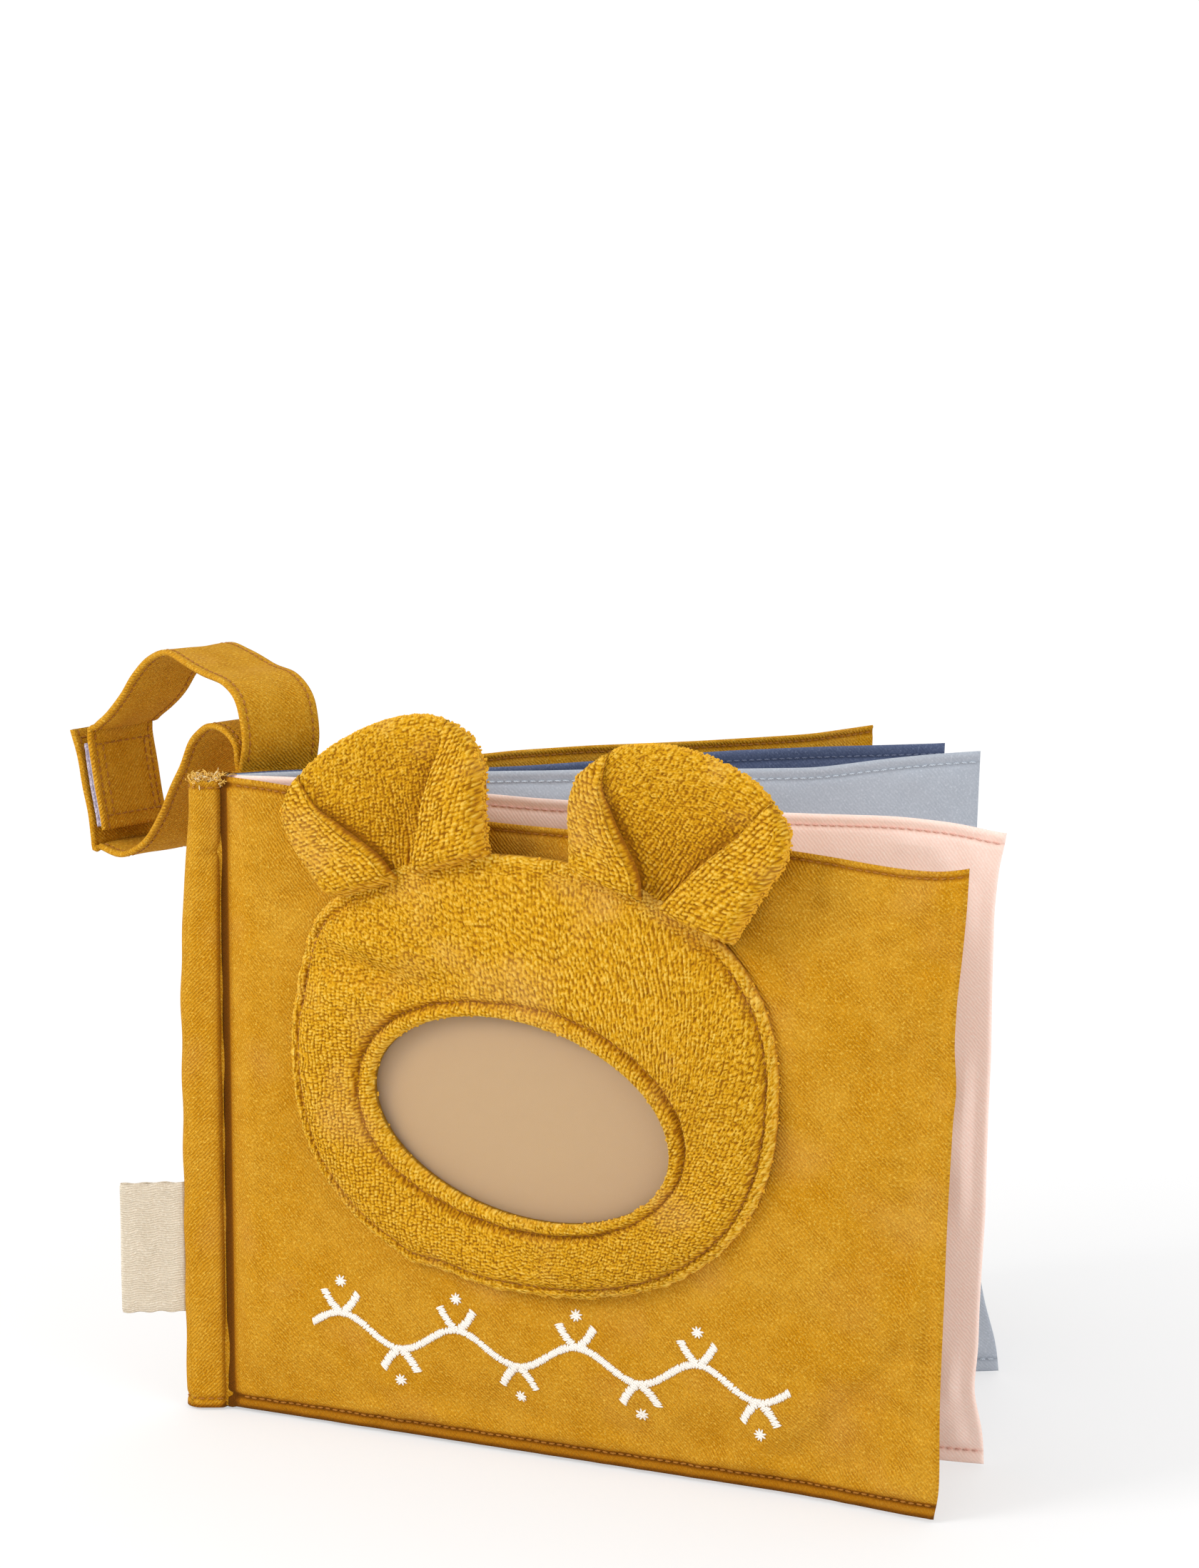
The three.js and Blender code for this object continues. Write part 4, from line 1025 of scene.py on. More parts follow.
head_folds = [
    # start, end, depth, width
    ((0.026, 0.1245), (0.05, 0.1185), 0.0036, 0.0038),
    ((0.05, 0.1185), (0.064, 0.119), 0.0018, 0.0045),
    ((0.024, 0.112), (0.031, 0.121), 0.0014, 0.003),
    ((0.034, 0.1295), (0.052, 0.1265), -0.001, 0.004),
    ((0.09, 0.128), (0.128, 0.121), 0.0009, 0.0045),
    ((0.135, 0.12), (0.146, 0.104), 0.0006, 0.004),
    ((0.06, 0.05), (0.075, 0.058), 0.0004, 0.003),
]


def head_height(turn, inward, outward_left):
    """The terry's front over the cover, by the distance from the window and from the outline."""
    sewn = sewn_share(turn)
    row = rim_line(turn)
    height = head_window_edge + (head_rim - head_window_edge) * domed(inward / lip_round)
    height = height + (head_crown - head_rim) * eased(inward, row, row + crown_run)
    height = height - (rim_groove + rim_groove_wave * np.sin(3 * turn)) * bell(inward, row, rim_groove_width)
    fall = np.clip(outward_left / (fall_share * (inward + outward_left)), 0, 1)
    low = head_hem + (head_mouth - head_hem) * (1 - sewn)
    height = low + (height - low) * (1 - (1 - fall) ** fall_power)
    seam, puff = bell(outward_left, edge_row, seam_width), bell(outward_left, puff_place, puff_width)
    return height + (puff_rise * puff - seam_dip * seam) * sewn


def head_under(turn, outward_left):
    """The back of the terry: close to the cover where it is sewn down, clear of the card inside."""
    sewn = eased(1 - (outward_left - under_from) / under_run) * sewn_share(turn)
    return head_back + (head_seat - head_back) * sewn


def head_front(turn, inward, total):
    window, outline = window_outline(turn), head_outline(turn)
    place = window + unit(outline - window) * inward[..., None]
    across, up = place[..., 0], place[..., 1]
    height = head_height(turn, inward, total - inward)
    for start, end, depth, width in head_folds:
        height = height - stroke_dip(across, up, start, end, depth, width)
    height = height + head_unevenness * rolling(across, up, 41, 0.03) * eased(inward, 0.004, 0.012)
    return across, up, np.maximum(height, head_under(turn, total - inward) + terry_thickness)


def smoothed(points, step):
    """A smooth line through points, sampled about every step."""
    points = np.asarray(points, float)
    padded = np.vstack([2 * points[0] - points[1], points, 2 * points[-1] - points[-2]])
    found = []
    for index in range(len(points) - 1):
        a, b, c, d = padded[index:index + 4]
        count = max(2, int(np.linalg.norm(c - b) / step))
        for t in np.arange(count) / count:
            found.append(((2 * b) + (c - a) * t + (2 * a - 5 * b + 4 * c - d) * t ** 2
                          + (3 * b - a - 3 * c + d) * t ** 3) / 2)
    return np.array(found + [points[-1]])


def facing_out():
    """Turns all faces of the chosen piece outwards."""
    bpy.ops.object.mode_set(mode="EDIT")
    bpy.ops.mesh.select_all(action="SELECT")
    bpy.ops.mesh.normals_make_consistent(inside=False)
    bpy.ops.object.mode_set(mode="OBJECT")


def closed_ring(name, points, cut):
    """A closed ring of cloth: a grid rolled up both ways and joined along its edges, then placed.
    `points` and `cut` are by turn, then round the section."""
    turns, section = points.shape[:2]
    ring = flat_grid(name, turns, section)
    round_at, section_at = (mesh_points(ring)[:, :2] + 1).T * math.pi
    rolled = np.stack([(3 + np.cos(section_at)) * np.cos(round_at), (3 + np.cos(section_at)) * np.sin(round_at),
                       np.sin(section_at)], axis=-1)
    ring.data.vertices.foreach_set("co", rolled.astype(np.float32).ravel())
    bpy.ops.object.mode_set(mode="EDIT")
    bpy.ops.mesh.select_all(action="SELECT")
    bpy.ops.mesh.remove_doubles(threshold=0.0001)
    bpy.ops.object.mode_set(mode="OBJECT")
    x, y, z = mesh_points(ring).T
    turn_at = np.rint(np.arctan2(y, x) / (2 * math.pi) * turns).astype(int) % turns
    section_at = np.rint(np.arctan2(z, np.hypot(x, y) - 3) / (2 * math.pi) * section).astype(int) % section
    laid_out(ring, points[turn_at, section_at], cut[turn_at, section_at])
    facing_out()
    bpy.ops.object.shade_smooth()
    return ring, turn_at, section_at


turn = np.arange(head_turns) * 2 * math.pi / head_turns
total = head_reach(turn)[:, None]
middle_rings = head_rings - lip_rings - hem_rings
even = (np.arange(middle_rings) + 0.5) / middle_rings
inward = np.concatenate([
    np.linspace(0, lip_width, lip_rings + 1)[:-1] + 0 * total,
    lip_width + (total - lip_width - hem_width) * even,
    total - hem_width + np.linspace(0, hem_width, hem_rings)], axis=1)
turn_grid = np.repeat(turn[:, None], head_rings, axis=1)
outward_left, sewn = total - inward, sewn_share(turn_grid)
across, up, height = head_front(turn_grid, inward, total)
slant = 0.55 * (up - 0.1) * eased(across, 0.06, 0.14) * (1 - eased(up, 0.06, 0.15))
# In the stitched grooves the pile stands lower, and its tone is painted darker as painted shade
groove = np.clip(bell(inward, rim_line(turn_grid), 0.0008) + bell(outward_left, edge_row, 0.0006) * sewn, 0, 1)
pile = pile_loops(across - slant, up, 0.04, 3) - 0.5 * groove
edge_fade = np.clip(inward / 0.0006, 0.25, 1) * np.clip(outward_left / 0.0006, 0.3, 1)
ragged = edge_fray * rolling(across, up, 43, 0.0045) * bell(outward_left, 0, 0.0012)
away = unit(np.stack([across - head_centre[0], up - head_centre[1]], axis=-1))
across, up = across + ragged * away[..., 0], up + ragged * away[..., 1]
front_points = turned_point(front, across, -(height + pile_rise * np.maximum(pile, 0) * edge_fade), up)
back_points = []
for ring_share in (1.0, 0.97, 0.9, 0.6, 0.3, 0.0):
    outline, window = head_outline(turn), window_outline(turn)
    spot = window + (outline - window) * ring_share
    under = head_under(turn, np.linalg.norm(outline - spot, axis=-1))
    back_points.append(turned_point(front, spot[:, 0], -under, spot[:, 1]))
back_rings = len(back_points)
points = np.concatenate([front_points, np.stack(back_points, axis=1)], axis=1)
cut = np.stack([across, up], axis=-1)
cut = np.concatenate([cut, np.repeat(cut[:, -1:], back_rings, axis=1)], axis=1)
head, turn_at, section_at = closed_ring("bear_head_terry", points, cut)
# The cloth's cut edge and the window's lip catch the light, and the rows of stitches less
pale = edge_pale * bell(outward_left, 0, 0.0017) + lip_pale * bell(inward, 0, 0.002) + row_pale * groove
toned = np.concatenate([pile + pale, np.full((head_turns, back_rings), back_pile)], axis=1)
marked(head, "pile", toned[turn_at, section_at])
dressed(head, terry)
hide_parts("bear_head")
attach(head, "front_cover")


def stray_loops(name, loops):
    tufts = gathered(name, loops, terry)
    marked(tufts, "pile", np.full(len(tufts.data.vertices), loop_pile))
    return tufts


# Loose loops stand round its outline and round the window's rim
draw = np.random.default_rng(92)
fringe = []
for count, centre, sign in ((620, head_centre, 1), (300, window_centre, -0.5)):
    for stop in draw.uniform(0, 2 * math.pi, count):
        angle = np.array([stop])
        reach = head_reach(angle)
        depth = draw.uniform(0, 0.0012)
        depth = reach - depth if sign > 0 else np.array([depth])
        across, up, height = [part[0] for part in head_front(angle, depth, reach)]
        out = unit(np.array([across, up]) - centre) * sign * 0.001
        level = height - draw.uniform(0.0002, 0.0016)
        fringe.append(loop_placing(turned_point(front, across, -level, up),
                                   turned_point(front, across + out[0], -level - 0.0003, up + out[1]), draw))
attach(stray_loops("bear_head_loops", fringe), "front_cover")

# The head's lining shows as a pale line along its lower right edge
lining_high, lining_low, lining_inset, lining_least_lift, lining_show = 0.00525, 0.00465, 0.0013, 0.0012, 0.0011
lining_section = [
    # share of the way from the window to the outline, level, lift
    (1, lining_high, 0), (1, lining_low, 0), (0.9, lining_low, 0.0008), (0.6, lining_low, 0.0012),
    (0.2, lining_low, 0.0014), (0.2, lining_high, 0.0014), (0.6, lining_high, 0.0012), (0.9, lining_high, 0.0008)]
lining_turn = np.arange(180) * 2 * math.pi / 180
show = bell(angle_from(lining_turn, -0.75), 0, 0.42) + bell(angle_from(lining_turn, 0.42), 0, 0.09)
lining_edge, lining_window = head_outline(lining_turn, lining_inset), window_outline(lining_turn)
shown_edge = lining_edge + unit(lining_edge - head_centre) * (lining_show * show)[:, None]
section = []
for share, level, lift in lining_section:
    spot = lining_window * (1 - share) + shown_edge * share
    lifted = level + np.maximum(lift, lining_least_lift * (1 - sewn_share(lining_turn)))
    section.append(turned_point(front, spot[:, 0], -lifted, spot[:, 1]))
section = np.stack(section, axis=1)
lining, *_ = closed_ring("bear_head_lining_cloth", section, section[..., [0, 2]])
undyed = cotton("undyed_cotton", ((0.84, 0.78, 0.7), (0.6, 0.53, 0.45), (0.93, 0.9, 0.85)), pitch=0.0004)
dressed(lining, undyed)
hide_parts("bear_head_lining")


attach(lining, "front_cover")


def head_path(turn, inward):
    """A path over the head's front, a set distance from the window (or from the outline)."""
    reach = head_reach(turn)
    inward = np.where(inward < 0, reach + inward, inward)

    def at(angle, depth):
        across, up, height = head_front(angle, depth, reach)
        return turned_point(front, across, -height, up)
    points = at(turn, inward)
    facing = np.cross(at(turn + 0.002, inward) - points, at(turn, inward + 0.0003) - points)
    return points, unit(facing * np.sign(-facing[:, 1:2]))


window_turns = np.linspace(0, 2 * math.pi, 300)
edge_turns = np.linspace(math.radians(180 - 36), math.radians(360 + 36), 300)
head_stitches = []
for turns, row in ((window_turns, rim_line(window_turns)), (edge_turns, np.full(300, -edge_row))):
    head_stitches += stitch_places(*head_path(turns, row), size=(0.0017, thread_width, 0.00045))
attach(gathered("bear_head_stitching", head_stitches, threads["ochre"]), "front_cover")


# The ears, two layers of terry sewn into the head's open edge. Each side edge folds forward over
# the cupped middle. The folds' free edges run from the seam's middle up to the ear's shoulders.
ear_seams = {"left_ear": ((0.038, 0.1405), (0.075, 0.153)), "right_ear": ((0.1007, 0.1522), (0.1417, 0.1378))}
ear_seam_height, ear_body, ear_deepest, ear_thinnest = 0.010, 0.0036, 0.0038, 0.0006
ear_lip_rise, ear_lip_scale, ear_rows, ear_lip_columns, ear_cup_columns = 0.0062, 0.76, 108, 44, 82
ear_cup_depth, ear_root_sink, ear_height, ear_side_round, ear_top_round = 0.0019, 0.0026, 0.038, 0.0026, 0.0024
cup_unevenness, lip_pile_rise = 0.0004, 1.35
ear_outlines = {
    # millimetres along and above the seam, from its middle: the left and right sides and the folds'
    # free edges from the seam up, and the top from left to right
    "left_ear": dict(
        left=[(-22.4, -1.6), (-25.3, 5.8), (-28.9, 15.6), (-30, 21.4), (-28.6, 26.0), (-25.3, 29.3)],
        top=[(-25.3, 29.3), (-19.1, 32.6), (-11.3, 35.2), (-1.7, 37.0), (7.8, 37.2), (15.7, 35.6), (21.6, 32.2)],
        right=[(21.5, -1.6), (23.4, 7.7), (26.1, 15.6), (27.4, 21.4), (25.7, 27.4), (21.6, 32.2)],
        left_fold=[(-3.9, -1.6), (-6.1, 5.2), (-10.6, 11.1), (-15.8, 16.8), (-20.7, 22.3), (-23.4, 30.4)],
        right_fold=[(1.2, -1.6), (6.3, 7.2), (10.9, 16.1), (14.8, 22.4), (18.6, 28.1), (20.4, 33.1)]),
    "right_ear": dict(
        left=[(-21.9, -1.6), (-24.3, 6.0), (-27.4, 13.6), (-28.6, 18.2), (-27.9, 22.9), (-24.9, 27.6)],
        top=[(-24.9, 27.6), (-20.4, 32.2), (-12.8, 36.0), (-4.2, 38.2), (4.8, 38.7), (13.8, 37.5), (20.7, 34.2)],
        right=[(22.1, -1.6), (24.0, 8.3), (26.4, 17.6), (27.6, 24.2), (25.8, 30.2), (20.7, 34.2)],
        left_fold=[(-2.9, -1.6), (-4.9, 5.0), (-10.2, 10.4), (-16.8, 16.3), (-21.7, 21.3), (-23.2, 29.4)],
        right_fold=[(2.2, -1.6), (7.0, 9.9), (11.2, 17.8), (15.0, 24.0), (17.4, 29.9), (19.3, 35.1)]),
}
ear_pleats = {
    # share across the cup, depth in millimetres, width as a share
    "left_ear": [(0.62, 0.9, 0.1), (0.86, 0.7, 0.09), (0.3, 0.3, 0.14)],
    "right_ear": [(0.34, 0.8, 0.08), (0.52, 0.55, 0.07), (0.72, 0.8, 0.1)],
}
fold_rim = [
    # how far the fold's rim stands out over the cup (mm) and its share of the fold's rise
    (-1.0, 0.9), (-0.3, 0.82), (0.25, 0.68), (0.5, 0.5), (0.4, 0.32), (-0.3, 0.15), (-0.9, 0.0)]


def along_curve(points, shares):
    """Places at shares of a smooth curve's length, in metres."""
    fine = smoothed(points, 0.2)
    run = run_along(fine)
    return np.stack([np.interp(shares * run[-1], run, fine[:, axis]) for axis in (0, 1)], axis=-1) / 1000


def ear_point(name, x, z, height):
    """A point of an ear, from the middle of its seam."""
    start, end = [np.array(corner) for corner in ear_seams[name]]
    middle, along = (start + end) / 2, unit(end - start)
    return turned_point(front, middle[0] + x * along[0] - z * along[1], -(ear_seam_height + height),
                        middle[1] + x * along[1] + z * along[0])


for name, outline in ear_outlines.items():
    up = 1 - (1 - np.linspace(0, 1, ear_rows)) ** 1.12
    rise = up[:, None]
    left, right, left_fold, right_fold = [along_curve(outline[key], up)
                                          for key in ("left", "right", "left_fold", "right_fold")]
    crest = ear_lip_rise * domed(up / 0.16) * (1 - 0.86 * eased(up, 0.42, 1))
    even = np.linspace(0, 0.96, ear_lip_columns)
    lip_share = (np.sin(even * math.pi / 2) + even) / 2
    cup_share = np.linspace(0.012, 0.988, ear_cup_columns)
    over, share_of_rise = np.array(fold_rim).T
    bulge = 0.86 + 0.26 * np.sin(lip_share * math.pi) ** 0.7 + 0.04 * lip_share
    slim = np.clip(crest / 0.003, 0.05, 1)[:, None, None]
    sides = []
    for edge, fold, other, order in ((left, left_fold, right_fold, 1), (right, right_fold, left_fold, -1)):
        lip = edge[:, None] + (fold - edge)[:, None] * lip_share[:, None]
        rim = fold[:, None] + unit(other - fold)[:, None] * over[:, None] / 1000 * slim
        run = np.linalg.norm(lip - fold[:, None], axis=2)
        past = run[:, -1:] * 0 + np.linspace(-0.0002, -0.003, len(over))
        parts = ((lip, rim), (crest[:, None] * bulge, crest[:, None] * share_of_rise), (run, past))
        sides.append([np.concatenate(part, axis=1)[:, ::order] for part in parts])

    # The cup between the folds, with its pleats
    top = along_curve(outline["top"], 0.035 + 0.93 * cup_share)
    straight = left_fold[:, None] + (right_fold - left_fold)[:, None] * cup_share[:, None]
    cup = straight + (top - straight[-1])[None] * (rise ** 1.7)[..., None]
    deep = -ear_cup_depth * np.sin(cup_share * math.pi) ** 0.8 * eased(rise, 0.04, 0.35) * (1 - eased(rise, 0.5, 1))
    for share, depth, width in ear_pleats[name]:
        reach = eased(rise, 0, 0.15) * (1 - eased(rise, 0.45, 0.85))
        deep = deep - depth / 1000 * bell(cup_share, share, width) * reach
    deep = deep + cup_unevenness * rolling(cup[..., 0], cup[..., 1], 81, 0.02)
    place, height, lip_run = [np.concatenate([sides[0][part], middle, sides[1][part]], axis=1)
                              for part, middle in enumerate((cup, deep, 0 * deep - 1))]
    x, z = place[..., 0], place[..., 1]

    # Front and back meet in a round edge
    sunk = -ear_root_sink * (1 - eased(rise, 0, 0.09)) + 0 * height
    front_height = height + sunk
    back_height = -ear_body * (0.75 + 0.25 * eased(rise, 0, 0.3)) + np.minimum(height, 0) * 0.6 + sunk * 0.5
    from_sides = [np.linalg.norm(place - edge[:, None], axis=2) / ear_side_round for edge in (left, right)]
    edge = np.minimum(np.minimum(*from_sides), (1 - rise) * ear_height / ear_top_round)
    back_height = np.where(rise > 0.05, np.maximum(back_height, -ear_deepest), back_height)
    front_height = np.where(rise > 0.05, np.maximum(front_height, back_height + ear_thinnest), front_height)
    middle_height = np.maximum((front_height + back_height) / 2, -ear_body * 0.6)
    front_height, back_height = [middle_height + (level - middle_height) * domed(edge)
                                 for level in (front_height, back_height)]

    # The pile runs along the lips and stands less inside their folds, whose walls take painted shade from that;
    # painted shade also darkens the cup by the folds and deep inside it
    on_lip, in_cup = lip_run > -0.0005, lip_run < -0.5
    lip_pile = pile_loops(lip_run * ear_lip_scale, rise * 0.036 * ear_lip_scale + 0 * x, 0.0, 8)
    pile = np.where(on_lip, lip_pile, pile_loops(x, z, math.radians(-12), 7))
    pile = pile * np.where((lip_run <= -0.0012) & ~in_cup, 0.1, 1)
    in_corner = bell(cup_share, 0, 0.07) + 0.75 * bell(cup_share, 1, 0.19)
    shade = 0.12 * in_cup * (1 - eased(rise, 0.55, 0.95))
    lip_count = (x.shape[1] - ear_cup_columns) // 2
    shade[:, lip_count:-lip_count] += 0.6 * in_corner * (1 - eased(rise, 0.5, 1))
    behind = pile_loops(x, z, math.radians(24), 10)
    soft = np.clip(edge / 0.3, 0.35, 1)
    raised = pile_rise * np.where(on_lip, lip_pile_rise, 1.0)
    front_points = ear_point(name, x, z, front_height + raised * pile * soft)
    back_points = ear_point(name, x, z, back_height - pile_rise * behind * soft)
    ear = closed_sheet(f"{name}_terry", front_points, back_points, x, z, pile=(pile - shade, behind))
    dressed(ear, terry)
    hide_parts(name)
    fringe = []
    draw = np.random.default_rng(91)
    for curve, count in (("left", 230), ("top", 380), ("right", 230)):
        shares = np.sort(draw.uniform(0.04, 1, count))
        spots = along_curve(outline[curve], shares)
        levels = draw.uniform(-0.0032, -0.0012, count)
        levels = levels + 0.0036 * (curve != "top") * draw.uniform(0, 1, count) * (shares < 0.8)
        for spot, level in zip(spots, levels):
            out = unit(spot - np.array([0.0, 0.014]))
            fringe.append(loop_placing(ear_point(name, *(spot - out * 0.0003), level),
                                       ear_point(name, *(spot + out * 0.001), level), draw))
    for piece in (ear, stray_loops(f"{name}_loops", fringe)):
        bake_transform(piece)


# The embroidery. A plain running pattern in white thread crosses the cover under the head: a wave
# with two small leaves and a dot at each crest. It is worked in close satin stitches.
pattern_start, pattern_end, pattern_mid = 0.024, 0.156, 0.0268
wave_length, wave_rise, leaf_reach, leaf_rise, dot_height, dot_radius = 0.033, 0.0036, 0.0042, 0.0052, 0.0078, 0.0007
tip_gap, leaf_gap, leaf_bow = 0.0004, 0.0006, 0.0007
satin = dict(pitch=0.00046, size=(0.0023, 0.0006, 0.0005), turn=math.radians(74), wander=0.12)


def embroidered(across, up, seed, **changes):
    path = leaf_path(front, cover_faces["front_cover"], 1, across, up)
    return stitch_places(*path, seed=seed, **{**satin, **changes})


wave_across = lines(pattern_start, pattern_end, 0.0008)
wave_up = pattern_mid + wave_rise * np.sin((wave_across - pattern_start) * 2 * math.pi / wave_length)
white_work = embroidered(wave_across, wave_up, 51)
share, dot = np.linspace(0, 1, 12), np.linspace(0, 2 * math.pi, 9)
for index, crest in enumerate(np.arange(pattern_start + wave_length / 4, pattern_end, wave_length / 2)):
    sign = 1 if index % 2 == 0 else -1
    tip = pattern_mid + sign * (wave_rise + tip_gap)
    for lean in (-1, 1):
        leaf_across = crest + lean * (leaf_gap + leaf_reach * share)
        leaf_up = tip + sign * (leaf_rise * share - leaf_bow * np.sin(share * math.pi))
        white_work += embroidered(leaf_across, leaf_up, 52 + index, size=(0.0026, 0.00062, 0.0005))
    white_work += embroidered(crest + dot_radius * np.cos(dot), tip + sign * dot_height + dot_radius * np.sin(dot),
                              70 + index)
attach(gathered("embroidery", white_work, threads["white"]), "front_cover")


# The strap, a tape of doubled ochre cotton topstitched along both edges. It rises from the back
# cover, arches over to a box-stitched end, and its second arm sags under it and turns up.
back = leaf_kinds["back_cover"]
strap_width, strap_half = 0.022, 0.0008
strap_inset, strap_reach, strap_rise, strap_drop = 0.002, 0.063, 0.025, 0.026
strap_twist, strap_shift, strap_drift_power = math.radians(14.6), 0.0117, 1.6
strap_axis_z = 0.1653
upper_arm_shares = [
    (0.0, -0.16), (0.0, -0.04), (-0.03, 0.22), (-0.015, 0.45), (0.03, 0.66), (0.13, 0.8), (0.27, 0.84), (0.42, 0.93),
    (0.53, 0.97), (0.64, 0.87), (0.73, 0.66), (0.8, 0.44), (0.89, 0.22), (0.965, 0.06), (1, -0.08), (0.925, -0.98)]
lower_arm_shares = [
    (0.02, -0.1), (0.035, 0.03), (0.04, 0.16), (0.09, 0.27), (0.17, 0.33), (0.25, 0.31), (0.32, 0.2), (0.38, 0.06),
    (0.44, -0.2), (0.51, -0.46), (0.58, -0.72), (0.66, -0.98), (0.75, -1.13), (0.84, -1.19)]
bend_up_share = -1.14
strap_row, box_row, strap_step, row_groove, tape_round, tape_wave = 0.002, 0.0042, 0.0011, 0.00028, 0.0006, 0.00018
patch_length, patch_thickness, patch_margin = 0.024, 0.001, 0.001
seat_gap = 0.0003
flap_length, flap_lean = 0.03, 0.0015


def strap_point(out_share, up_share):
    reach = strap_drop if up_share < 0 else strap_rise
    return np.array([out_share * strap_reach, strap_axis_z + up_share * reach])


def tape_surfaces(path, half_thickness, inset=0.0, grooved=True, seed=0):
    """Both faces of a tape along a path in the loop's plane, as rows of points across it, with
    their places on the cut tape and the way that its face looks."""
    columns = np.linspace(0, 1, 45)
    width = strap_width - 2 * inset
    edge = np.minimum(columns, 1 - columns) * width
    half = np.full(len(columns), half_thickness)
    if grooved:
        half = half - row_groove * bell(edge, strap_row, 0.0006)
    half = half * (0.15 + 0.85 * domed(edge / tape_round))
    run = run_along(path)
    front, rear, normals = [], [], []
    for index, (out, up) in enumerate(path):
        along = unit(path[min(index + 1, len(path) - 1)] - path[max(index - 1, 0)])
        share = max(out, 0) / strap_reach
        turn = strap_twist * min(share, 1)
        across = np.array([math.cos(turn), math.sin(turn), 0])
        near = np.array([strap_inset - strap_shift * share ** strap_drift_power, out, up]) + across * inset
        normal = np.array([-across[1] * along[1], across[0] * along[1], -along[0]])
        spots = near + columns[:, None] * width * across
        bow = tape_wave * rolling(columns * width, np.full(len(columns), run[index]), seed, 0.016)
        front.append(spots - normal * (half - bow)[:, None])
        rear.append(spots + normal * (half + bow)[:, None])
        normals.append(np.repeat(normal[None], len(columns), axis=0))
    faces = [turned_point(back, *np.moveaxis(np.array(part), -1, 0)) for part in (front, rear)]
    out, side, up = np.moveaxis(np.array(normals), -1, 0)
    facing = np.stack([*turned_by(math.radians(back["angle"]), out, side), up], axis=-1)
    return *faces, *np.meshgrid(columns * width + inset, run), facing


def stitch_row(surfaces, row, column, seed):
    """A row of stitches through a tape, on both of its faces."""
    front, rear, _, _, facing = surfaces
    return (stitch_places(front[row, column], -facing[row, column], seed=seed)
            + stitch_places(rear[row, column], facing[row, column], seed=seed + 1))


def tape_rows(surfaces, position, rows, seed=3):
    """Stitches down a tape, at a distance from both of its edges."""
    columns = [int(np.argmin(np.abs(surfaces[2][0] - place))) for place in (position, strap_width - position)]
    return stitch_row(surfaces, rows, columns[0], seed) + stitch_row(surfaces, rows, columns[1], seed)


def patch_run(off):
    """The foot and the way of a patch that lies this far from the upper arm's end."""
    top, foot = strap_point(*upper_arm_shares[-2]), strap_point(*upper_arm_shares[-1])
    along = unit(foot - top)
    return foot + np.array([-along[1], along[0]]) * off, along


def strap_tape(name, points, seed):
    """One run of the strap's doubled tape."""
    path = smoothed(points, strap_step)
    surfaces = tape_surfaces(path, strap_half, seed=seed)
    tape = dressed(closed_sheet(f"{name}_tape", *surfaces[:4]), cottons["ochre"])
    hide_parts(name)
    return tape, surfaces


# The turned-up end lies outside both patches, and starts where the lower arm bends up
hook_off = strap_half + seat_gap + patch_thickness / 2
loop_off = hook_off + patch_thickness + seat_gap
flap_off = loop_off + patch_thickness / 2 + seat_gap + strap_half
flap_foot, flap_along = patch_run(flap_off)
bend = flap_foot + flap_along * (strap_point(0, bend_up_share)[1] - flap_foot[1]) / flap_along[1]
lower_points = [strap_point(*shares) for shares in lower_arm_shares] + [bend - np.array([strap_half + 0.0012, 0.0003])]
upper_arm, upper = strap_tape("strap_upper_arm", [strap_point(*shares) for shares in upper_arm_shares], 61)
lower_arm, lower = strap_tape("strap_lower_arm", lower_points, 62)
patch_rows = int(round(patch_length / strap_step))
box_columns = slice(4, 41)
strap_stitches = tape_rows(upper, strap_row, slice(4, None)) + tape_rows(lower, strap_row, slice(4, None), 5)
for row in (-4, -patch_rows + 2):
    strap_stitches += stitch_row(upper, row, box_columns, 8)
strap_stitches += tape_rows(upper, box_row, slice(-patch_rows + 2, -3), 7)
stitching = gathered("strap_stitching", strap_stitches, threads["ochre"])
for piece in (upper_arm, lower_arm, stitching):
    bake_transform(piece)

# Hook-and-loop patches: a woven ground with a dense pile of tiny lilac hooks or loops
hook_tape, tree = new_material("hook_and_loop")
dense = node(tree, "TexVoronoi", {"Vector": node(tree, "TexCoord").outputs["UV"], "Scale": 1500.0}).outputs["Distance"]
hook_tone = blended(tree, spread(tree, dense, 0.05, 0.6), (0.72, 0.66, 0.74, 1), (0.42, 0.36, 0.45, 1))
bump = node(tree, "Bump", {"Strength": 0.8, "Distance": 0.0004, "Height": dense}, invert=True)
skinned(tree, {"Base Color": hook_tone, "Roughness": 0.8, "Normal": bump.outputs[0], "Sheen Weight": 0.2})
for name, off, body, node_name, carrier in (
        ("strap_hook_tape", hook_off, "strap", "strap_hook_patch", "strap_upper_arm"),
        ("strap_loop_tape", loop_off, "strap_flap", "strap_loop_patch", "strap_end_flap")):
    foot, along = patch_run(off)
    patch_path = np.array([foot - along * reach for reach in lines(patch_length - patch_margin, patch_margin, 0.0008)])
    front_side, rear_side, across, up, facing = tape_surfaces(patch_path, patch_thickness / 2, patch_margin, False, 63)
    draw = np.random.default_rng(64)
    for side in (front_side, rear_side):
        side += facing * draw.uniform(-1, 1, side.shape[:2])[..., None] * 0.00009
    tape = dressed(closed_sheet(name, front_side, rear_side, across, up), hook_tape)
    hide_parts(node_name)
    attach(tape, body)

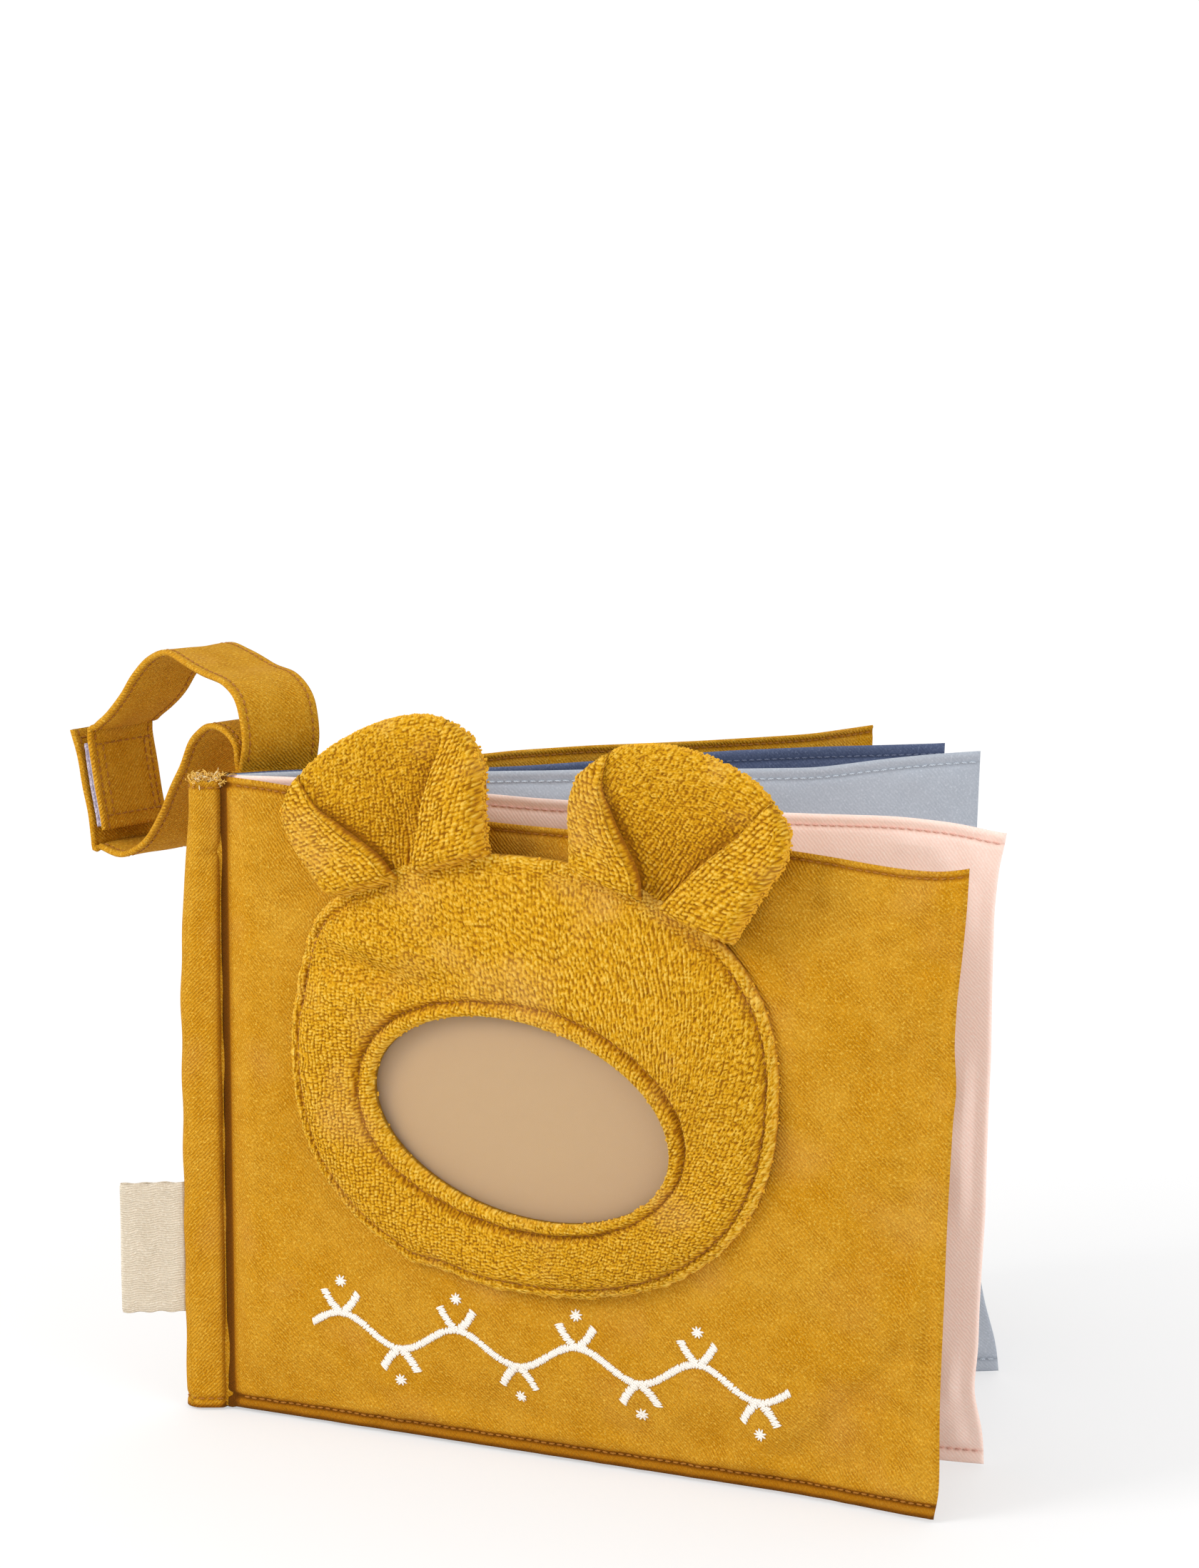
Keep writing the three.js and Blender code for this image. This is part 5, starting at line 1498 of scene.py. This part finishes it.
# The turned-up end, pressed on the patches
flap_points = [lower_points[-1] + np.array([0.0007, -0.0004]), bend + np.array([0.0, -0.0011])]
for reach in np.linspace(0.0012, flap_length, 7):
    flap_points.append(bend - flap_along * reach + np.array([flap_lean * (reach / flap_length) ** 3, 0]))
end_flap, flap = strap_tape("strap_end_flap", flap_points, 65)
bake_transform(end_flap)
flap_stitches = tape_rows(flap, strap_row, slice(6, None)) + stitch_row(flap, -3, box_columns, 8)
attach(gathered("strap_flap_stitching", flap_stitches, threads["ochre"]), "strap_flap")


# The label, a bare tape of cream cotton, folded once and sewn into the spine's back by its cut
# ends. It curls a little towards its fold.
label_length, label_height, label_foot, label_x = 0.0158, 0.034, 0.0245, -0.0058
label_half, label_gap = 0.00028, 0.00034
label_wave, label_curl, label_opening, label_fray = 0.00055, 0.0012, 0.00035, 0.0002
tape_cream = cotton("cream_tape", ((0.72, 0.63, 0.49), (0.52, 0.43, 0.31), (0.86, 0.79, 0.67)),
                    pitch=0.00062, angle=math.radians(2), relief=0.7, sheen=0.1)
fold_turns = np.linspace(-math.pi / 2, math.pi / 2, 9)[1:-1]
straight = lines(0, label_length, 0.0008)
path_x = label_x - np.concatenate([straight, label_length + label_gap * np.cos(fold_turns), straight[::-1]])
path_y = label_gap * np.concatenate([-np.ones(len(straight)), np.sin(fold_turns), np.ones(len(straight))])
normal_x, normal_y = unit(np.stack([np.gradient(path_y), -np.gradient(path_x)], axis=-1)).T
run = run_along(np.stack([path_x, path_y], axis=-1))
rows = np.concatenate([[0, 0.0003, 0.0008], lines(0.0016, label_height - 0.0016, 0.0016),
                       label_height - np.array([0.0008, 0.0003, 0])])
run_grid, up_grid = np.meshgrid(run, rows + label_foot)
free = np.clip((label_x - path_x) / label_length, 0, 1)
wave = label_wave * free * rolling(up_grid * 0, up_grid, 71, 0.03) - label_curl * free ** 2
spread_open = 1 + label_opening * free * np.sin(free * math.pi) / label_gap
ragged = label_fray * rolling(run_grid, up_grid * 0, 72, 0.006)
edge_thin = np.clip(np.minimum(rows, label_height - rows) / 0.0008, 0.45, 1)[:, None]
surfaces = []
for thick in (label_half * edge_thin, -label_half * edge_thin):
    surfaces.append(np.stack([path_x + normal_x * thick, path_y * spread_open + normal_y * thick + wave,
                              up_grid + ragged], axis=-1))
label = closed_sheet("label_tape", *surfaces, run_grid, up_grid)
facing_out()
dressed(label, tape_cream)
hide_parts("label_tab")
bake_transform(label)
